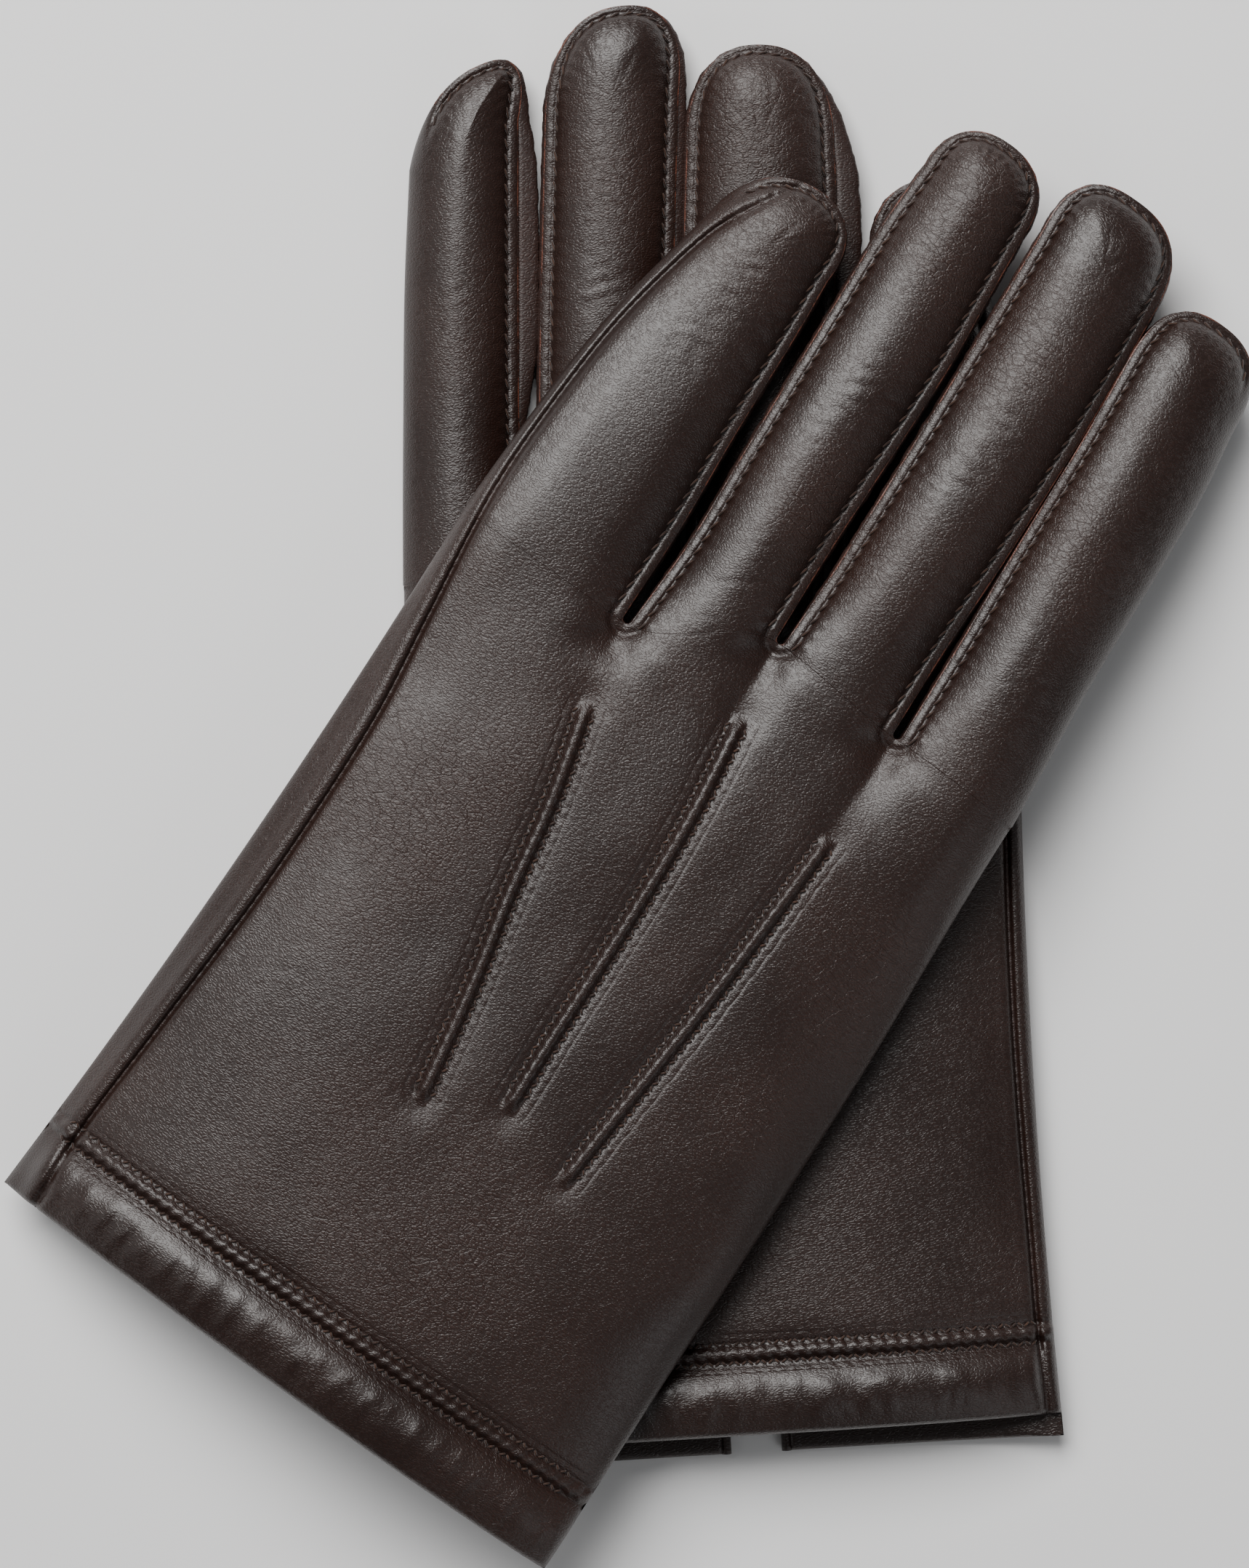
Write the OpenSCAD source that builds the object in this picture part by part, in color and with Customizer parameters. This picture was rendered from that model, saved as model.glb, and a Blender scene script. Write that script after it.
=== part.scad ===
// A pair of gentlemen's leather dress gloves, laid back up with the left glove crossed over the right.
// Millimetres, +Z up, fingers roughly towards +Y, the tabletop at z = 0.
// Each glove is cut and sewn as the real one is: back and palm of the hand, hems, side welt, three
// points, thumb, vent binding, a back and a palm for every finger, fourchettes and a knitted lining.

/* [Hand] */
// Half the width of the cuff mouth
cuff_half_w = 57.3; // [54:0.1:59]
// Thickness of one layer of leather
leather_t = 1; // [0.8:0.1:1.2]
// Thickness of one layer of knitted lining
lining_t = 0.6; // [0.4:0.1:0.8]
// Height of the hand at its middle, thumb included
hand_h = 12.9; // [12.5:0.1:13]
// Height of a finger at its middle
finger_h = 9.5; // [9:0.1:10]
// Height of the side seam and of the folded edge above the palm side
edge_h = 4.3; // [4:0.1:5]
// Depth of the folded hem
hem_d = 14; // [12:0.5:16]
// Thickness of the folded hem
hem_t = 2.2; // [1.8:0.1:2.4]
// How far the right glove's palm side reaches past the back at the cuff
palm_reach = 4; // [2:0.5:5]

/* [Thumb] */
// Height of the flattened thumb, tucked under the palm
thumb_h = 4.4; // [4:0.1:4.6]
// Half the width of the thumb at its root
thumb_root_half_w = 12.5; // [11:0.5:13]
// Half the width of the thumb near its tip
thumb_tip_half_w = 10; // [8:0.5:11]

/* [Vent] */
// Width of the palm slit at the cuff edge
vent_w = 9; // [6:0.5:10]
// Length of the palm slit
vent_len = 46; // [40:1:50]
// Sideways place of the slit, towards the little finger when negative
vent_u = -4; // [-8:1:4]

/* [Pair] */
// Lean of the left glove's axis towards +X
left_lean = 35; // [33:0.5:36]
// Lean of the right glove's axis towards +X
right_lean = -3.5; // [-5:0.5:-2]
// Height at which the left glove lies on the right one
stack_h = 14.6; // [14.6:0.1:15]
// How far the left glove sinks towards its fingers
finger_sink = 3.5; // [2:0.1:3.6]

/* [Hidden] */
// The piece that is drawn: one of the names below, or all of them

LEATHER = [0.17, 0.11, 0.10];
LEATHER_DARK = [0.12, 0.07, 0.06];
KNIT = [0.33, 0.27, 0.23];
THREAD = [0.36, 0.24, 0.17];

// Free play between pieces that lie against each other, and between a finger and the hand
gap = 0.06;
fold_gap = 0.5;
// Free play between the faces of a finger and its side walls
wall_gap = 0.2;
// Depth of the side welt, and height of the points above the back
welt_w = 1.3;
point_h = 0.8;
point_w = 2;
// Clearance under a point's ridge, where the back is faceted
point_clear = 0.15;
// Middle part of the thumb's width that is flat, on which the glove rests
thumb_flat = 0.2;
// Width of the strip that binds the slit
binding_w = 1.5;
// One stitch: its length, width and height, the distance to the next, and its clearance from the leather
stitch = [2.2, 0.5, 0.35];
stitch_pitch = 7;
stitch_clear = 0.15;
// Rows of facets along the hand and along a finger, and columns across a finger
hand_rows = 9;
finger_rows = 8;
finger_cols = 6;

// A glove is [side, x of the cuff's middle, y of the cuff's middle, lean, is it the upper glove].
// side is 1 on the left glove and -1 on the right: u runs to the index side on both.
LEFT = [1, -61, -102.6, left_lean, true];
RIGHT = [-1, 18.7, -113.4, right_lean, false];

// A finger is [u and v of its root, u and v of its tip, half width at the root, half width near the
// tip, fold line of the left glove, fold line of the right glove, wall to the little side, wall to
// the index side]. A fold line is a distance from the root.
LITTLE = 0;
RING = 1;
MIDDLE = 2;
INDEX = 3;
FINGERS = [
    [[-41.4, 141], [-43.2, 219.5], 15.9, 11, 0, 0, false, true],
    [[-12.3, 147], [-18, 246.5], 10.1, 10.6, 0, 73, true, true],
    [[12.2, 152], [5.5, 249.5], 11.2, 11.4, 0, 61, true, true],
    [[37.4, 151], [30, 242.5], 11.5, 11, 0, 27, true, false]];
// The right glove's little finger spreads a little further out.
RIGHT_LITTLE_TIP = [-47.5, 215];

// The three points: [u and v near the fingers, u and v near the cuff].
POINTS = [
    [[-21.3, 124.9], [-6.5, 54.9]],
    [[1.7, 137.5], [6.8, 62.2]],
    [[25.3, 129.5], [22, 57.3]]];

// The thumb: [u and v of its root, u and v of its tip].
THUMB = [[36, 60], [4, 126]];

function mix(a, b, t) = a + (b - a) * t;
function clamp(x, low, high) = min(max(x, low), high);
function smooth(a, b, x) = let (t = clamp((x - a) / (b - a), 0, 1)) t * t * (3 - 2 * t);
function along(line, p) =
    let (d = line[1] - line[0])
    clamp((p - line[0]) * d / (d * d), 0, 1);
function reach(line, p) = norm(p - mix(line[0], line[1], along(line, p)));

// Height of the tabletop, or of the glove below, under a point of the plane
function support(glove, x, y) = !glove[4] ? 0
    : stack_h
        - finger_sink * smooth(40, 110, y)
        - 0.0026 * pow(max(0, -38 - x), 2)
        - 0.0040 * pow(max(0, x - 68), 2);

// A glove's own u, v and height above what it lies on, as a point of the pair
function place(glove, u, v, z) =
    let (a = glove[3], s = glove[0] * u)
    let (x = glove[1] + v * sin(a) + s * cos(a), y = glove[2] + v * cos(a) - s * sin(a))
    [x, y, z + support(glove, x, y)];

// Outline of the hand: the little side and the index side at v
function little_edge(v) = -(cuff_half_w - 1.3 + 1.3 * pow((v - 60) / 60, 2));
function index_edge(v) = cuff_half_w - 0.5 - 0.02 * v - 3.8 * smooth(90, 160, v);
function across(u, v) =
    let (a = little_edge(v), b = index_edge(v))
    clamp((2 * u - a - b) / (b - a), -1, 1);
function crown(c) = pow(1 - pow(abs(c), 4), 0.6);

// How much the tucked thumb lifts the palm, from 0 to 1
function lift(u, v) = 1 - smooth(13.5, 30, reach(THUMB, [u, v]));
function seam_z(u, v) = edge_h + 2.6 * lift(u, v);
function back_z(u, v) =
    let (top = hand_h - (hand_h - finger_h) * smooth(108, 150, v), m = seam_z(u, v))
    m + (top - m) * crown(across(u, v));
function palm_z(u, v) =
    let (flat = seam_z(u, v) * (1 - crown(across(u, v))))
    mix(flat, max(flat, thumb_h + 0.3), lift(u, v));

// A closed quilt: a grid of plane points, with its lower and upper face as functions of u and v.
// Both faces split their quads along the same diagonal, so that they stay parallel.
module quilt(glove, grid, low, high) {
    rows = len(grid) - 1;
    cols = len(grid[0]) - 1;
    n = (rows + 1) * (cols + 1);
    top = [for (i = [0:rows], j = [0:cols])
        let (p = grid[i][j]) place(glove, p[0], p[1], high(p[0], p[1]))];
    bottom = [for (i = [0:rows], j = [0:cols])
        let (p = grid[i][j]) place(glove, p[0], p[1], low(p[0], p[1]))];
    function at(i, j) = i * (cols + 1) + j;
    quads = concat(
        [for (i = [0:rows - 1], j = [0:cols - 1])
            [at(i, j), at(i + 1, j), at(i + 1, j + 1), at(i, j + 1)]],
        [for (i = [0:rows - 1], j = [0:cols - 1])
            [n + at(i + 1, j + 1), n + at(i + 1, j), n + at(i, j), n + at(i, j + 1)]],
        [for (j = [0:cols - 1]) [at(0, j), at(0, j + 1), n + at(0, j + 1), n + at(0, j)]],
        [for (j = [0:cols - 1])
            [at(rows, j + 1), at(rows, j), n + at(rows, j), n + at(rows, j + 1)]],
        [for (i = [0:rows - 1]) [at(i + 1, 0), at(i, 0), n + at(i, 0), n + at(i + 1, 0)]],
        [for (i = [0:rows - 1])
            [at(i, cols), at(i + 1, cols), n + at(i + 1, cols), n + at(i, cols)]]);
    faces = [for (q = quads, half = [0:1])
        let (t = half == 0 ? [q[0], q[1], q[2]] : [q[0], q[2], q[3]])
        glove[0] > 0 ? t : [t[2], t[1], t[0]]];
    polyhedron(points = concat(top, bottom), faces = faces);
}

// The finger's parts of a table entry, with the right glove's own little finger
function finger_line(glove, f) =
    [FINGERS[f][0], f == LITTLE && !glove[4] ? RIGHT_LITTLE_TIP : FINGERS[f][1]];
function finger_len(glove, f) = let (l = finger_line(glove, f)) norm(l[1] - l[0]);
function fold_line(glove, f) = glove[4] ? FINGERS[f][4] : FINGERS[f][5];
function finger_way(glove, f) = let (l = finger_line(glove, f)) (l[1] - l[0]) / finger_len(glove, f);
function finger_point(glove, f, s, w) =
    let (d = finger_way(glove, f))
    FINGERS[f][0] + d * s + [d[1], -d[0]] * w;
// Share of the full section that is left at s: the tip is rounded
function tip_share(glove, f, s) =
    let (l = finger_len(glove, f), r = FINGERS[f][3])
    s < l - r ? 1 : sqrt(max(0.02, 1 - pow((s - l + r) / r, 2)));
function half_w(glove, f, s) =
    mix(FINGERS[f][2], FINGERS[f][3], s / finger_len(glove, f)) * tip_share(glove, f, s);

// Height of a finger's face over its middle plane, as a share of the middle's
function wall_share(f, c) =
    let (edge = (c < 0 ? FINGERS[f][6] : FINGERS[f][7]) ? 0.62 : 0.08)
    mix(1, edge, pow(abs(c), edge > 0.5 ? 2.5 : 4));
function finger_rise(glove, f, u, v) =
    let (d = finger_way(glove, f), p = [u, v] - FINGERS[f][0])
    let (s = p * d, c = clamp(p * [d[1], -d[0]] / half_w(glove, f, s), -1, 1))
    finger_h / 2 * wall_share(f, c) * pow(tip_share(glove, f, s), 0.6);

// Rows of points over a finger from s0 to s1, between two shares of its half width.
// edge0 and edge1 are taken off the half width at either side.
function finger_grid(glove, f, s0, s1, edge0, edge1) =
    [for (i = [0:finger_rows])
        let (s = s0 + (s1 - s0) * sin(90 * i / finger_rows), w = half_w(glove, f, s))
        let (a = -max(w - edge0, 0.8), b = max(w - edge1, 0.8))
        [for (j = [0:finger_cols]) finger_point(glove, f, s, mix(a, b, j / finger_cols))]];

function side_room(f, side) = FINGERS[f][6 + side] ? leather_t + wall_gap : 0;

// A grid without some of its outer columns and last rows: the lining keeps to its leather's own grid,
// so that the two faces lie parallel
function trimmed(grid, first, last, end) =
    [for (i = [0:len(grid) - 1 - end])
        [for (j = [first:len(grid[0]) - 1 - last]) grid[i][j]]];

// Back and palm leather of a finger from s0 to s1
function leather_grid(glove, f, s0, s1) = finger_grid(glove, f, s0, s1, side_room(f, 0), side_room(f, 1));

module finger_back(glove, f, s0, s1) {
    mid = finger_h / 2;
    quilt(glove, leather_grid(glove, f, s0, s1),
        function(u, v) max(mid + gap, mid + finger_rise(glove, f, u, v) - leather_t),
        function(u, v) max(mid + gap + 0.3, mid + finger_rise(glove, f, u, v)));
}

module finger_palm(glove, f, s0, s1) {
    mid = finger_h / 2;
    quilt(glove, leather_grid(glove, f, s0, s1),
        function(u, v) min(mid - gap - 0.3, mid - finger_rise(glove, f, u, v)),
        function(u, v) min(mid - gap, mid - finger_rise(glove, f, u, v) + leather_t));
}

// The lining of a finger, inside its leather: it ends short of the tip and of a folded edge
function lining_grid(glove, f, s0, s1, end) =
    trimmed(leather_grid(glove, f, s0, s1), FINGERS[f][6] ? 0 : 1, FINGERS[f][7] ? 0 : 1, end);

module finger_back_lining(glove, f, s0, s1, end = 0) {
    mid = finger_h / 2;
    outer = leather_t + gap;
    quilt(glove, lining_grid(glove, f, s0, s1, end),
        function(u, v) mid + finger_rise(glove, f, u, v) - outer - lining_t,
        function(u, v) mid + finger_rise(glove, f, u, v) - outer);
}

module finger_palm_lining(glove, f, s0, s1, end = 0) {
    mid = finger_h / 2;
    outer = leather_t + gap;
    quilt(glove, lining_grid(glove, f, s0, s1, end),
        function(u, v) mid - finger_rise(glove, f, u, v) + outer,
        function(u, v) mid - finger_rise(glove, f, u, v) + outer + lining_t);
}

// One side wall of a finger: -1 is towards the little finger, 1 towards the index finger
module finger_wall(glove, f, s0, s1, side) {
    grid = [for (i = [0:finger_rows])
        let (s = mix(s0, s1, i / finger_rows), w = half_w(glove, f, s))
        let (p = finger_point(glove, f, s, side * w), q = finger_point(glove, f, s, side * (w - leather_t)))
        side < 0 ? [p, q] : [q, p]];
    mid = finger_h / 2;
    quilt(glove, grid,
        function(u, v) mid - finger_rise(glove, f, u, v),
        function(u, v) mid + finger_rise(glove, f, u, v));
}

function fourchette_end(glove, f) = finger_len(glove, f) - FINGERS[f][3] * 0.8;

module fourchettes(glove, f, s0, s1) {
    color(LEATHER_DARK) {
        if (FINGERS[f][6]) finger_wall(glove, f, s0, s1, -1);
        if (FINGERS[f][7]) finger_wall(glove, f, s0, s1, 1);
    }
}

// Where a finger's own pieces begin, past the hand or past the fold
function finger_start(glove, f) = fold_line(glove, f) + fold_gap;

module back_of_finger(glove, f)
    color(LEATHER)
    finger_back(glove, f, finger_start(glove, f), finger_len(glove, f) - 0.1);

module palm_of_finger(glove, f)
    color(LEATHER)
    finger_palm(glove, f, finger_start(glove, f), finger_len(glove, f) - 0.1);

module fourchettes_of_finger(glove, f)
    fourchettes(glove, f, finger_start(glove, f), fourchette_end(glove, f));

module lining_of_finger(glove, f)
    color(KNIT) {
        finger_back_lining(glove, f, finger_start(glove, f), finger_len(glove, f) - 0.1, 1);
        finger_palm_lining(glove, f, finger_start(glove, f), finger_len(glove, f) - 0.1, 1);
    }

// The fingers whose roots stay with the hand
function rooted(glove) = [for (f = [LITTLE:INDEX]) if (fold_line(glove, f) > 0) f];

// Columns of the hand's grid: three panels of facets to each finger, stopping short at the webs
function root_point(glove, f, k, edge) =
    finger_point(glove, f, -fold_gap, mix(-FINGERS[f][2], FINGERS[f][2], k / 3) * edge);
function column_tops(glove) = [for (f = [LITTLE:INDEX], k = [0:3]) root_point(glove, f, k, 0.98)];

// Grid of the hand between v0 at the cuff and the finger roots. in0 and in1 are taken off at the
// little side and at the index side.
function hand_grid(glove, v0, in0, in1) =
    let (tops = column_tops(glove), cols = len(tops) - 1)
    [for (i = [0:hand_rows])
        [for (j = [0:cols])
            let (end = tops[j][1], v = mix(v0, end, i / hand_rows))
            let (a = little_edge(v) + in0, b = index_edge(v) - in1)
            let (c0 = little_edge(end) + in0, c1 = index_edge(end) - in1)
            let (share = clamp((tops[j][0] - c0) / (c1 - c0), 0.002 * j, 1 - 0.002 * (cols - j)))
            [mix(a, b, mix(j / cols, share, i / hand_rows)), v]]];

function back_low(u, v, t) = max(seam_z(u, v) + gap, back_z(u, v) - t);
function palm_high(u, v, t) = min(seam_z(u, v) - gap, palm_z(u, v) + t);

module back_panel(glove)
    color(LEATHER) {
        quilt(glove, hand_grid(glove, hem_d + gap, welt_w + gap, 0),
            function(u, v) back_low(u, v, leather_t),
            function(u, v) max(seam_z(u, v) + gap + 0.3, back_z(u, v)));
        for (f = rooted(glove))
            finger_back(glove, f, 0.2, fold_line(glove, f));
    }

// The slit in the palm is as wide as its mouth along the hem, and closes towards the fingers.
function slit_half(v) = vent_w / 2 * clamp((vent_len - v) / (vent_len - hem_d), 0, 1);

function flap_grid(v0, v1, side, extra) =
    [for (i = [0:3])
        let (v = mix(v0, v1, i / 3), edge = slit_half(v) + extra)
        let (a = side < 0 ? little_edge(v) + welt_w + gap : vent_u + edge)
        let (b = side < 0 ? vent_u - edge : index_edge(v))
        [for (j = [0:5]) [mix(a, b, j / 5), v]]];

module palm_panel(glove) {
    low = function(u, v) min(seam_z(u, v) - gap - 0.3, palm_z(u, v));
    high = function(u, v) palm_high(u, v, leather_t);
    color(LEATHER) {
        for (side = [-1, 1])
            quilt(glove, flap_grid(hem_d + gap, vent_len, side, binding_w + gap), low, high);
        quilt(glove, hand_grid(glove, vent_len + gap, welt_w + gap, 0), low, high);
        for (f = rooted(glove))
            finger_palm(glove, f, 0.2, fold_line(glove, f));
    }
}

module back_lining(glove)
    color(KNIT) {
        quilt(glove, trimmed(hand_grid(glove, hem_d + gap, welt_w + gap, 0), 1, 1, 0),
            function(u, v) back_low(u, v, leather_t + gap + lining_t),
            function(u, v) back_z(u, v) - leather_t - gap);
        for (f = rooted(glove))
            finger_back_lining(glove, f, 0.2, fold_line(glove, f));
    }

module palm_lining(glove)
    color(KNIT) {
        quilt(glove, trimmed(hand_grid(glove, vent_len + gap, welt_w + gap, 0), 1, 1, 0),
            function(u, v) palm_z(u, v) + leather_t + gap,
            function(u, v) palm_high(u, v, leather_t + gap + lining_t));
        for (f = rooted(glove))
            finger_palm_lining(glove, f, 0.2, fold_line(glove, f));
    }

module back_hem(glove) {
    grid = [for (i = [0:3])
        let (v = mix(0, hem_d, i / 3))
        [for (j = [0:14]) [mix(little_edge(v) + welt_w + gap, index_edge(v), j / 14), v]]];
    color(LEATHER)
    quilt(glove, grid,
        function(u, v) back_low(u, v, hem_t),
        function(u, v) max(seam_z(u, v) + gap + 0.3, back_z(u, v) + 0.3 * smooth(10, 13, v)));
}

// On the left glove the two sides of the cuff end together.
function reach_past(glove) = glove[4] ? 0 : palm_reach;

module palm_hem(glove) {
    grid = function(side) [for (i = [0:3])
        let (v = mix(-reach_past(glove), hem_d, i / 3), edge = vent_w / 2 + binding_w + gap)
        let (a = side < 0 ? little_edge(v) + welt_w + gap : vent_u + edge)
        let (b = side < 0 ? vent_u - edge : index_edge(v))
        [for (j = [0:7]) [mix(a, b, j / 7), v]]];
    color(LEATHER)
    for (side = [-1, 1])
        quilt(glove, grid(side),
            function(u, v) min(seam_z(u, v) - gap - 0.3, palm_z(u, v)),
            function(u, v) palm_high(u, v, hem_t));
}

// The bound edges of the slit, from the cuff edge to its closed end
module vent_binding(glove) {
    grid = function(side) [for (i = [0:5])
        let (v = mix(-reach_past(glove), vent_len - 4, i / 5))
        let (inner = vent_u + side * slit_half(v), outer = inner + side * binding_w)
        side < 0 ? [[outer, v], [inner, v]] : [[inner, v], [outer, v]]];
    color(LEATHER_DARK)
    for (side = [-1, 1])
        quilt(glove, grid(side),
            function(u, v) palm_z(u, v),
            function(u, v) palm_z(u, v) + leather_t + 0.6);
}

// The raised ridge along the little side that joins back and palm, from the cuff to the little finger
module side_welt(glove) {
    grid = [for (i = [0:12])
        let (v = mix(0, FINGERS[LITTLE][0][1] - 1, i / 12))
        [[little_edge(v), v], [little_edge(v) + welt_w, v]]];
    color(LEATHER)
    quilt(glove, grid,
        function(u, v) seam_z(u, v) - 1.1,
        function(u, v) seam_z(u, v) + 1.1);
}

module points(glove)
    color(LEATHER)
    for (line = POINTS) {
        d = (line[1] - line[0]) / norm(line[1] - line[0]);
        n = [d[1], -d[0]] * point_w / 2;
        grid = [for (i = [0:8]) let (p = mix(line[1], line[0], i / 8)) [p + n, p - n]];
        quilt(glove, grid,
            function(u, v) back_z(u, v) + point_clear,
            function(u, v) back_z(u, v) + point_h);
    }

// A row of stitches from a to b, lying on the back of the hand
module stitch_row(glove, a, b) {
    d = (b - a) / norm(b - a);
    count = floor(norm(b - a) / stitch_pitch);
    for (i = [0:count - 1]) {
        p = a + d * stitch_pitch * (i + 0.5);
        at = place(glove, p[0], p[1], back_z(p[0], p[1]) + 0.3 + stitch_clear);
        turn = atan2(d[1], glove[0] * d[0]) - glove[3];
        translate(at)
            rotate([0, 0, turn])
                translate([-stitch[0] / 2, -stitch[1] / 2, 0])
                    cube(stitch);
    }
}

// The sewing that shows on the hand: beside each point, and along the hem
module thread(glove) {
    beside = point_w / 2 + 0.9;
    hem_reach = cuff_half_w - 15;
    color(THREAD) {
        for (line = POINTS, side = [-1, 1]) {
            d = (line[1] - line[0]) / norm(line[1] - line[0]);
            n = [d[1], -d[0]] * beside * side;
            stitch_row(glove, line[1] + n, line[0] + n);
        }
        stitch_row(glove, [-hem_reach, hem_d + 1], [hem_reach, hem_d + 1]);
    }
}

// The thumb: a flattened tube under the palm, its back leather above and its palm leather below
function thumb_len() = norm(THUMB[1] - THUMB[0]);
function thumb_share(s) =
    let (r = thumb_tip_half_w, l = thumb_len())
    s > l - r ? sqrt(max(0.03, 1 - pow((s - l + r) / r, 2))) : 1;
function thumb_half(s) =
    mix(thumb_root_half_w, thumb_tip_half_w, s / thumb_len()) * thumb_share(s);
function thumb_rise(u, v) =
    let (d = (THUMB[1] - THUMB[0]) / thumb_len(), p = [u, v] - THUMB[0])
    let (s = p * d, c = min(abs(p * [d[1], -d[0]]) / thumb_half(s), 1))
    let (slope = clamp((c - thumb_flat) / (1 - thumb_flat), 0, 1))
    (thumb_h / 2) * mix(1, 0.15, pow(slope, 3)) * thumb_share(s);
function thumb_grid() =
    let (d = (THUMB[1] - THUMB[0]) / thumb_len())
    [for (i = [0:8])
        let (s = (thumb_len() - 0.1) * sin(90 * i / 8), w = thumb_half(s))
        [for (j = [0:5]) THUMB[0] + d * s + [d[1], -d[0]] * mix(-w, w, j / 5)]];

module thumb_back(glove)
    color(LEATHER)
    quilt(glove, thumb_grid(),
        function(u, v) max(thumb_h / 2 + gap, thumb_h / 2 + thumb_rise(u, v) - leather_t),
        function(u, v) max(thumb_h / 2 + gap + 0.2, thumb_h / 2 + thumb_rise(u, v)));

module thumb_palm(glove)
    color(LEATHER)
    quilt(glove, thumb_grid(),
        function(u, v) min(thumb_h / 2 - gap - 0.2, thumb_h / 2 - thumb_rise(u, v)),
        function(u, v) min(thumb_h / 2 - gap, thumb_h / 2 - thumb_rise(u, v) + leather_t));

// The side walls of the right glove's three longer fingers, as far as their fold lines
module finger_roots_fourchettes(glove)
    for (f = rooted(glove))
        fourchettes(glove, f, 0.2, fold_line(glove, f));

back_panel(LEFT);  // left_back_panel
palm_panel(LEFT);  // left_palm_panel
back_lining(LEFT);  // left_back_lining
palm_lining(LEFT);  // left_palm_lining
back_hem(LEFT);  // left_back_hem
palm_hem(LEFT);  // left_palm_hem
side_welt(LEFT);  // left_side_welt
points(LEFT);  // left_points
thumb_back(LEFT);  // left_thumb_back
thumb_palm(LEFT);  // left_thumb_palm
vent_binding(LEFT);  // left_vent_binding
thread(LEFT);  // left_thread
back_of_finger(LEFT, LITTLE);  // left_little_back
palm_of_finger(LEFT, LITTLE);  // left_little_palm
fourchettes_of_finger(LEFT, LITTLE);  // left_little_fourchette
lining_of_finger(LEFT, LITTLE);  // left_little_lining
back_of_finger(LEFT, RING);  // left_ring_back
palm_of_finger(LEFT, RING);  // left_ring_palm
fourchettes_of_finger(LEFT, RING);  // left_ring_fourchettes
lining_of_finger(LEFT, RING);  // left_ring_lining
back_of_finger(LEFT, MIDDLE);  // left_middle_back
palm_of_finger(LEFT, MIDDLE);  // left_middle_palm
fourchettes_of_finger(LEFT, MIDDLE);  // left_middle_fourchettes
lining_of_finger(LEFT, MIDDLE);  // left_middle_lining
back_of_finger(LEFT, INDEX);  // left_index_back
palm_of_finger(LEFT, INDEX);  // left_index_palm
fourchettes_of_finger(LEFT, INDEX);  // left_index_fourchette
lining_of_finger(LEFT, INDEX);  // left_index_lining
back_panel(RIGHT);  // right_back_panel
palm_panel(RIGHT);  // right_palm_panel
back_lining(RIGHT);  // right_back_lining
palm_lining(RIGHT);  // right_palm_lining
back_hem(RIGHT);  // right_back_hem
palm_hem(RIGHT);  // right_palm_hem
side_welt(RIGHT);  // right_side_welt
points(RIGHT);  // right_points
thumb_back(RIGHT);  // right_thumb_back
thumb_palm(RIGHT);  // right_thumb_palm
vent_binding(RIGHT);  // right_vent_binding
thread(RIGHT);  // right_thread
finger_roots_fourchettes(RIGHT);  // right_finger_roots_fourchettes
back_of_finger(RIGHT, LITTLE);  // right_little_back
palm_of_finger(RIGHT, LITTLE);  // right_little_palm
fourchettes_of_finger(RIGHT, LITTLE);  // right_little_fourchette
lining_of_finger(RIGHT, LITTLE);  // right_little_lining
back_of_finger(RIGHT, RING);  // right_ring_back
palm_of_finger(RIGHT, RING);  // right_ring_palm
fourchettes_of_finger(RIGHT, RING);  // right_ring_fourchettes
lining_of_finger(RIGHT, RING);  // right_ring_lining
back_of_finger(RIGHT, MIDDLE);  // right_middle_back
palm_of_finger(RIGHT, MIDDLE);  // right_middle_palm
fourchettes_of_finger(RIGHT, MIDDLE);  // right_middle_fourchettes
lining_of_finger(RIGHT, MIDDLE);  // right_middle_lining
back_of_finger(RIGHT, INDEX);  // right_index_back
palm_of_finger(RIGHT, INDEX);  // right_index_palm
fourchettes_of_finger(RIGHT, INDEX);  // right_index_fourchette
lining_of_finger(RIGHT, INDEX);  // right_index_lining
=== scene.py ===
"""A pair of gentlemen's lined leather dress gloves, laid back up, the left glove crossed over the right.

Every glove is drawn in its own pattern plane: u runs across the hand to the index side and v from
the cuff to the fingertips, both in millimetres. Lay.place() puts that plane where the glove lies.
"""
import sys
import logging
import math
from dataclasses import dataclass, field
from enum import Enum

import bmesh
import bpy
import numpy as np
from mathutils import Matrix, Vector, kdtree


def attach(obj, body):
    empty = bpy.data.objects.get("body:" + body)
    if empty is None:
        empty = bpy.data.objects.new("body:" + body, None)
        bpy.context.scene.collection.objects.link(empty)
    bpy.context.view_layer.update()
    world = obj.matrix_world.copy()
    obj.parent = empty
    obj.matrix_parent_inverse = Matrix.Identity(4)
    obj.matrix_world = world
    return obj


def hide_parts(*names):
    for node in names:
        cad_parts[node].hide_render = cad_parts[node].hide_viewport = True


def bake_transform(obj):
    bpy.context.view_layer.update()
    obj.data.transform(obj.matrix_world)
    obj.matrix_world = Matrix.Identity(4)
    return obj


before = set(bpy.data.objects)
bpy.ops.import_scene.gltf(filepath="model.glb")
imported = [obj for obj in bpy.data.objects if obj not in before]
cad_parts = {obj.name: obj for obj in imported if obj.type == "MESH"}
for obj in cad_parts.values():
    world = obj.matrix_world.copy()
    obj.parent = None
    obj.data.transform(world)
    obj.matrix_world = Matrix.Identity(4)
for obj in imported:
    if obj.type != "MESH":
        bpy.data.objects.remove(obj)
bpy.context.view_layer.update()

LOG = logging.getLogger("gloves")
MM = 0.001
Array = np.ndarray
Number = float | Array
Line = tuple[tuple[float, float], ...]
Colour = tuple[float, float, float, float]
Socket = bpy.types.NodeSocket
Value = float | Socket


# ---------------------------------------------------------------- arithmetic of soft shapes


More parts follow.
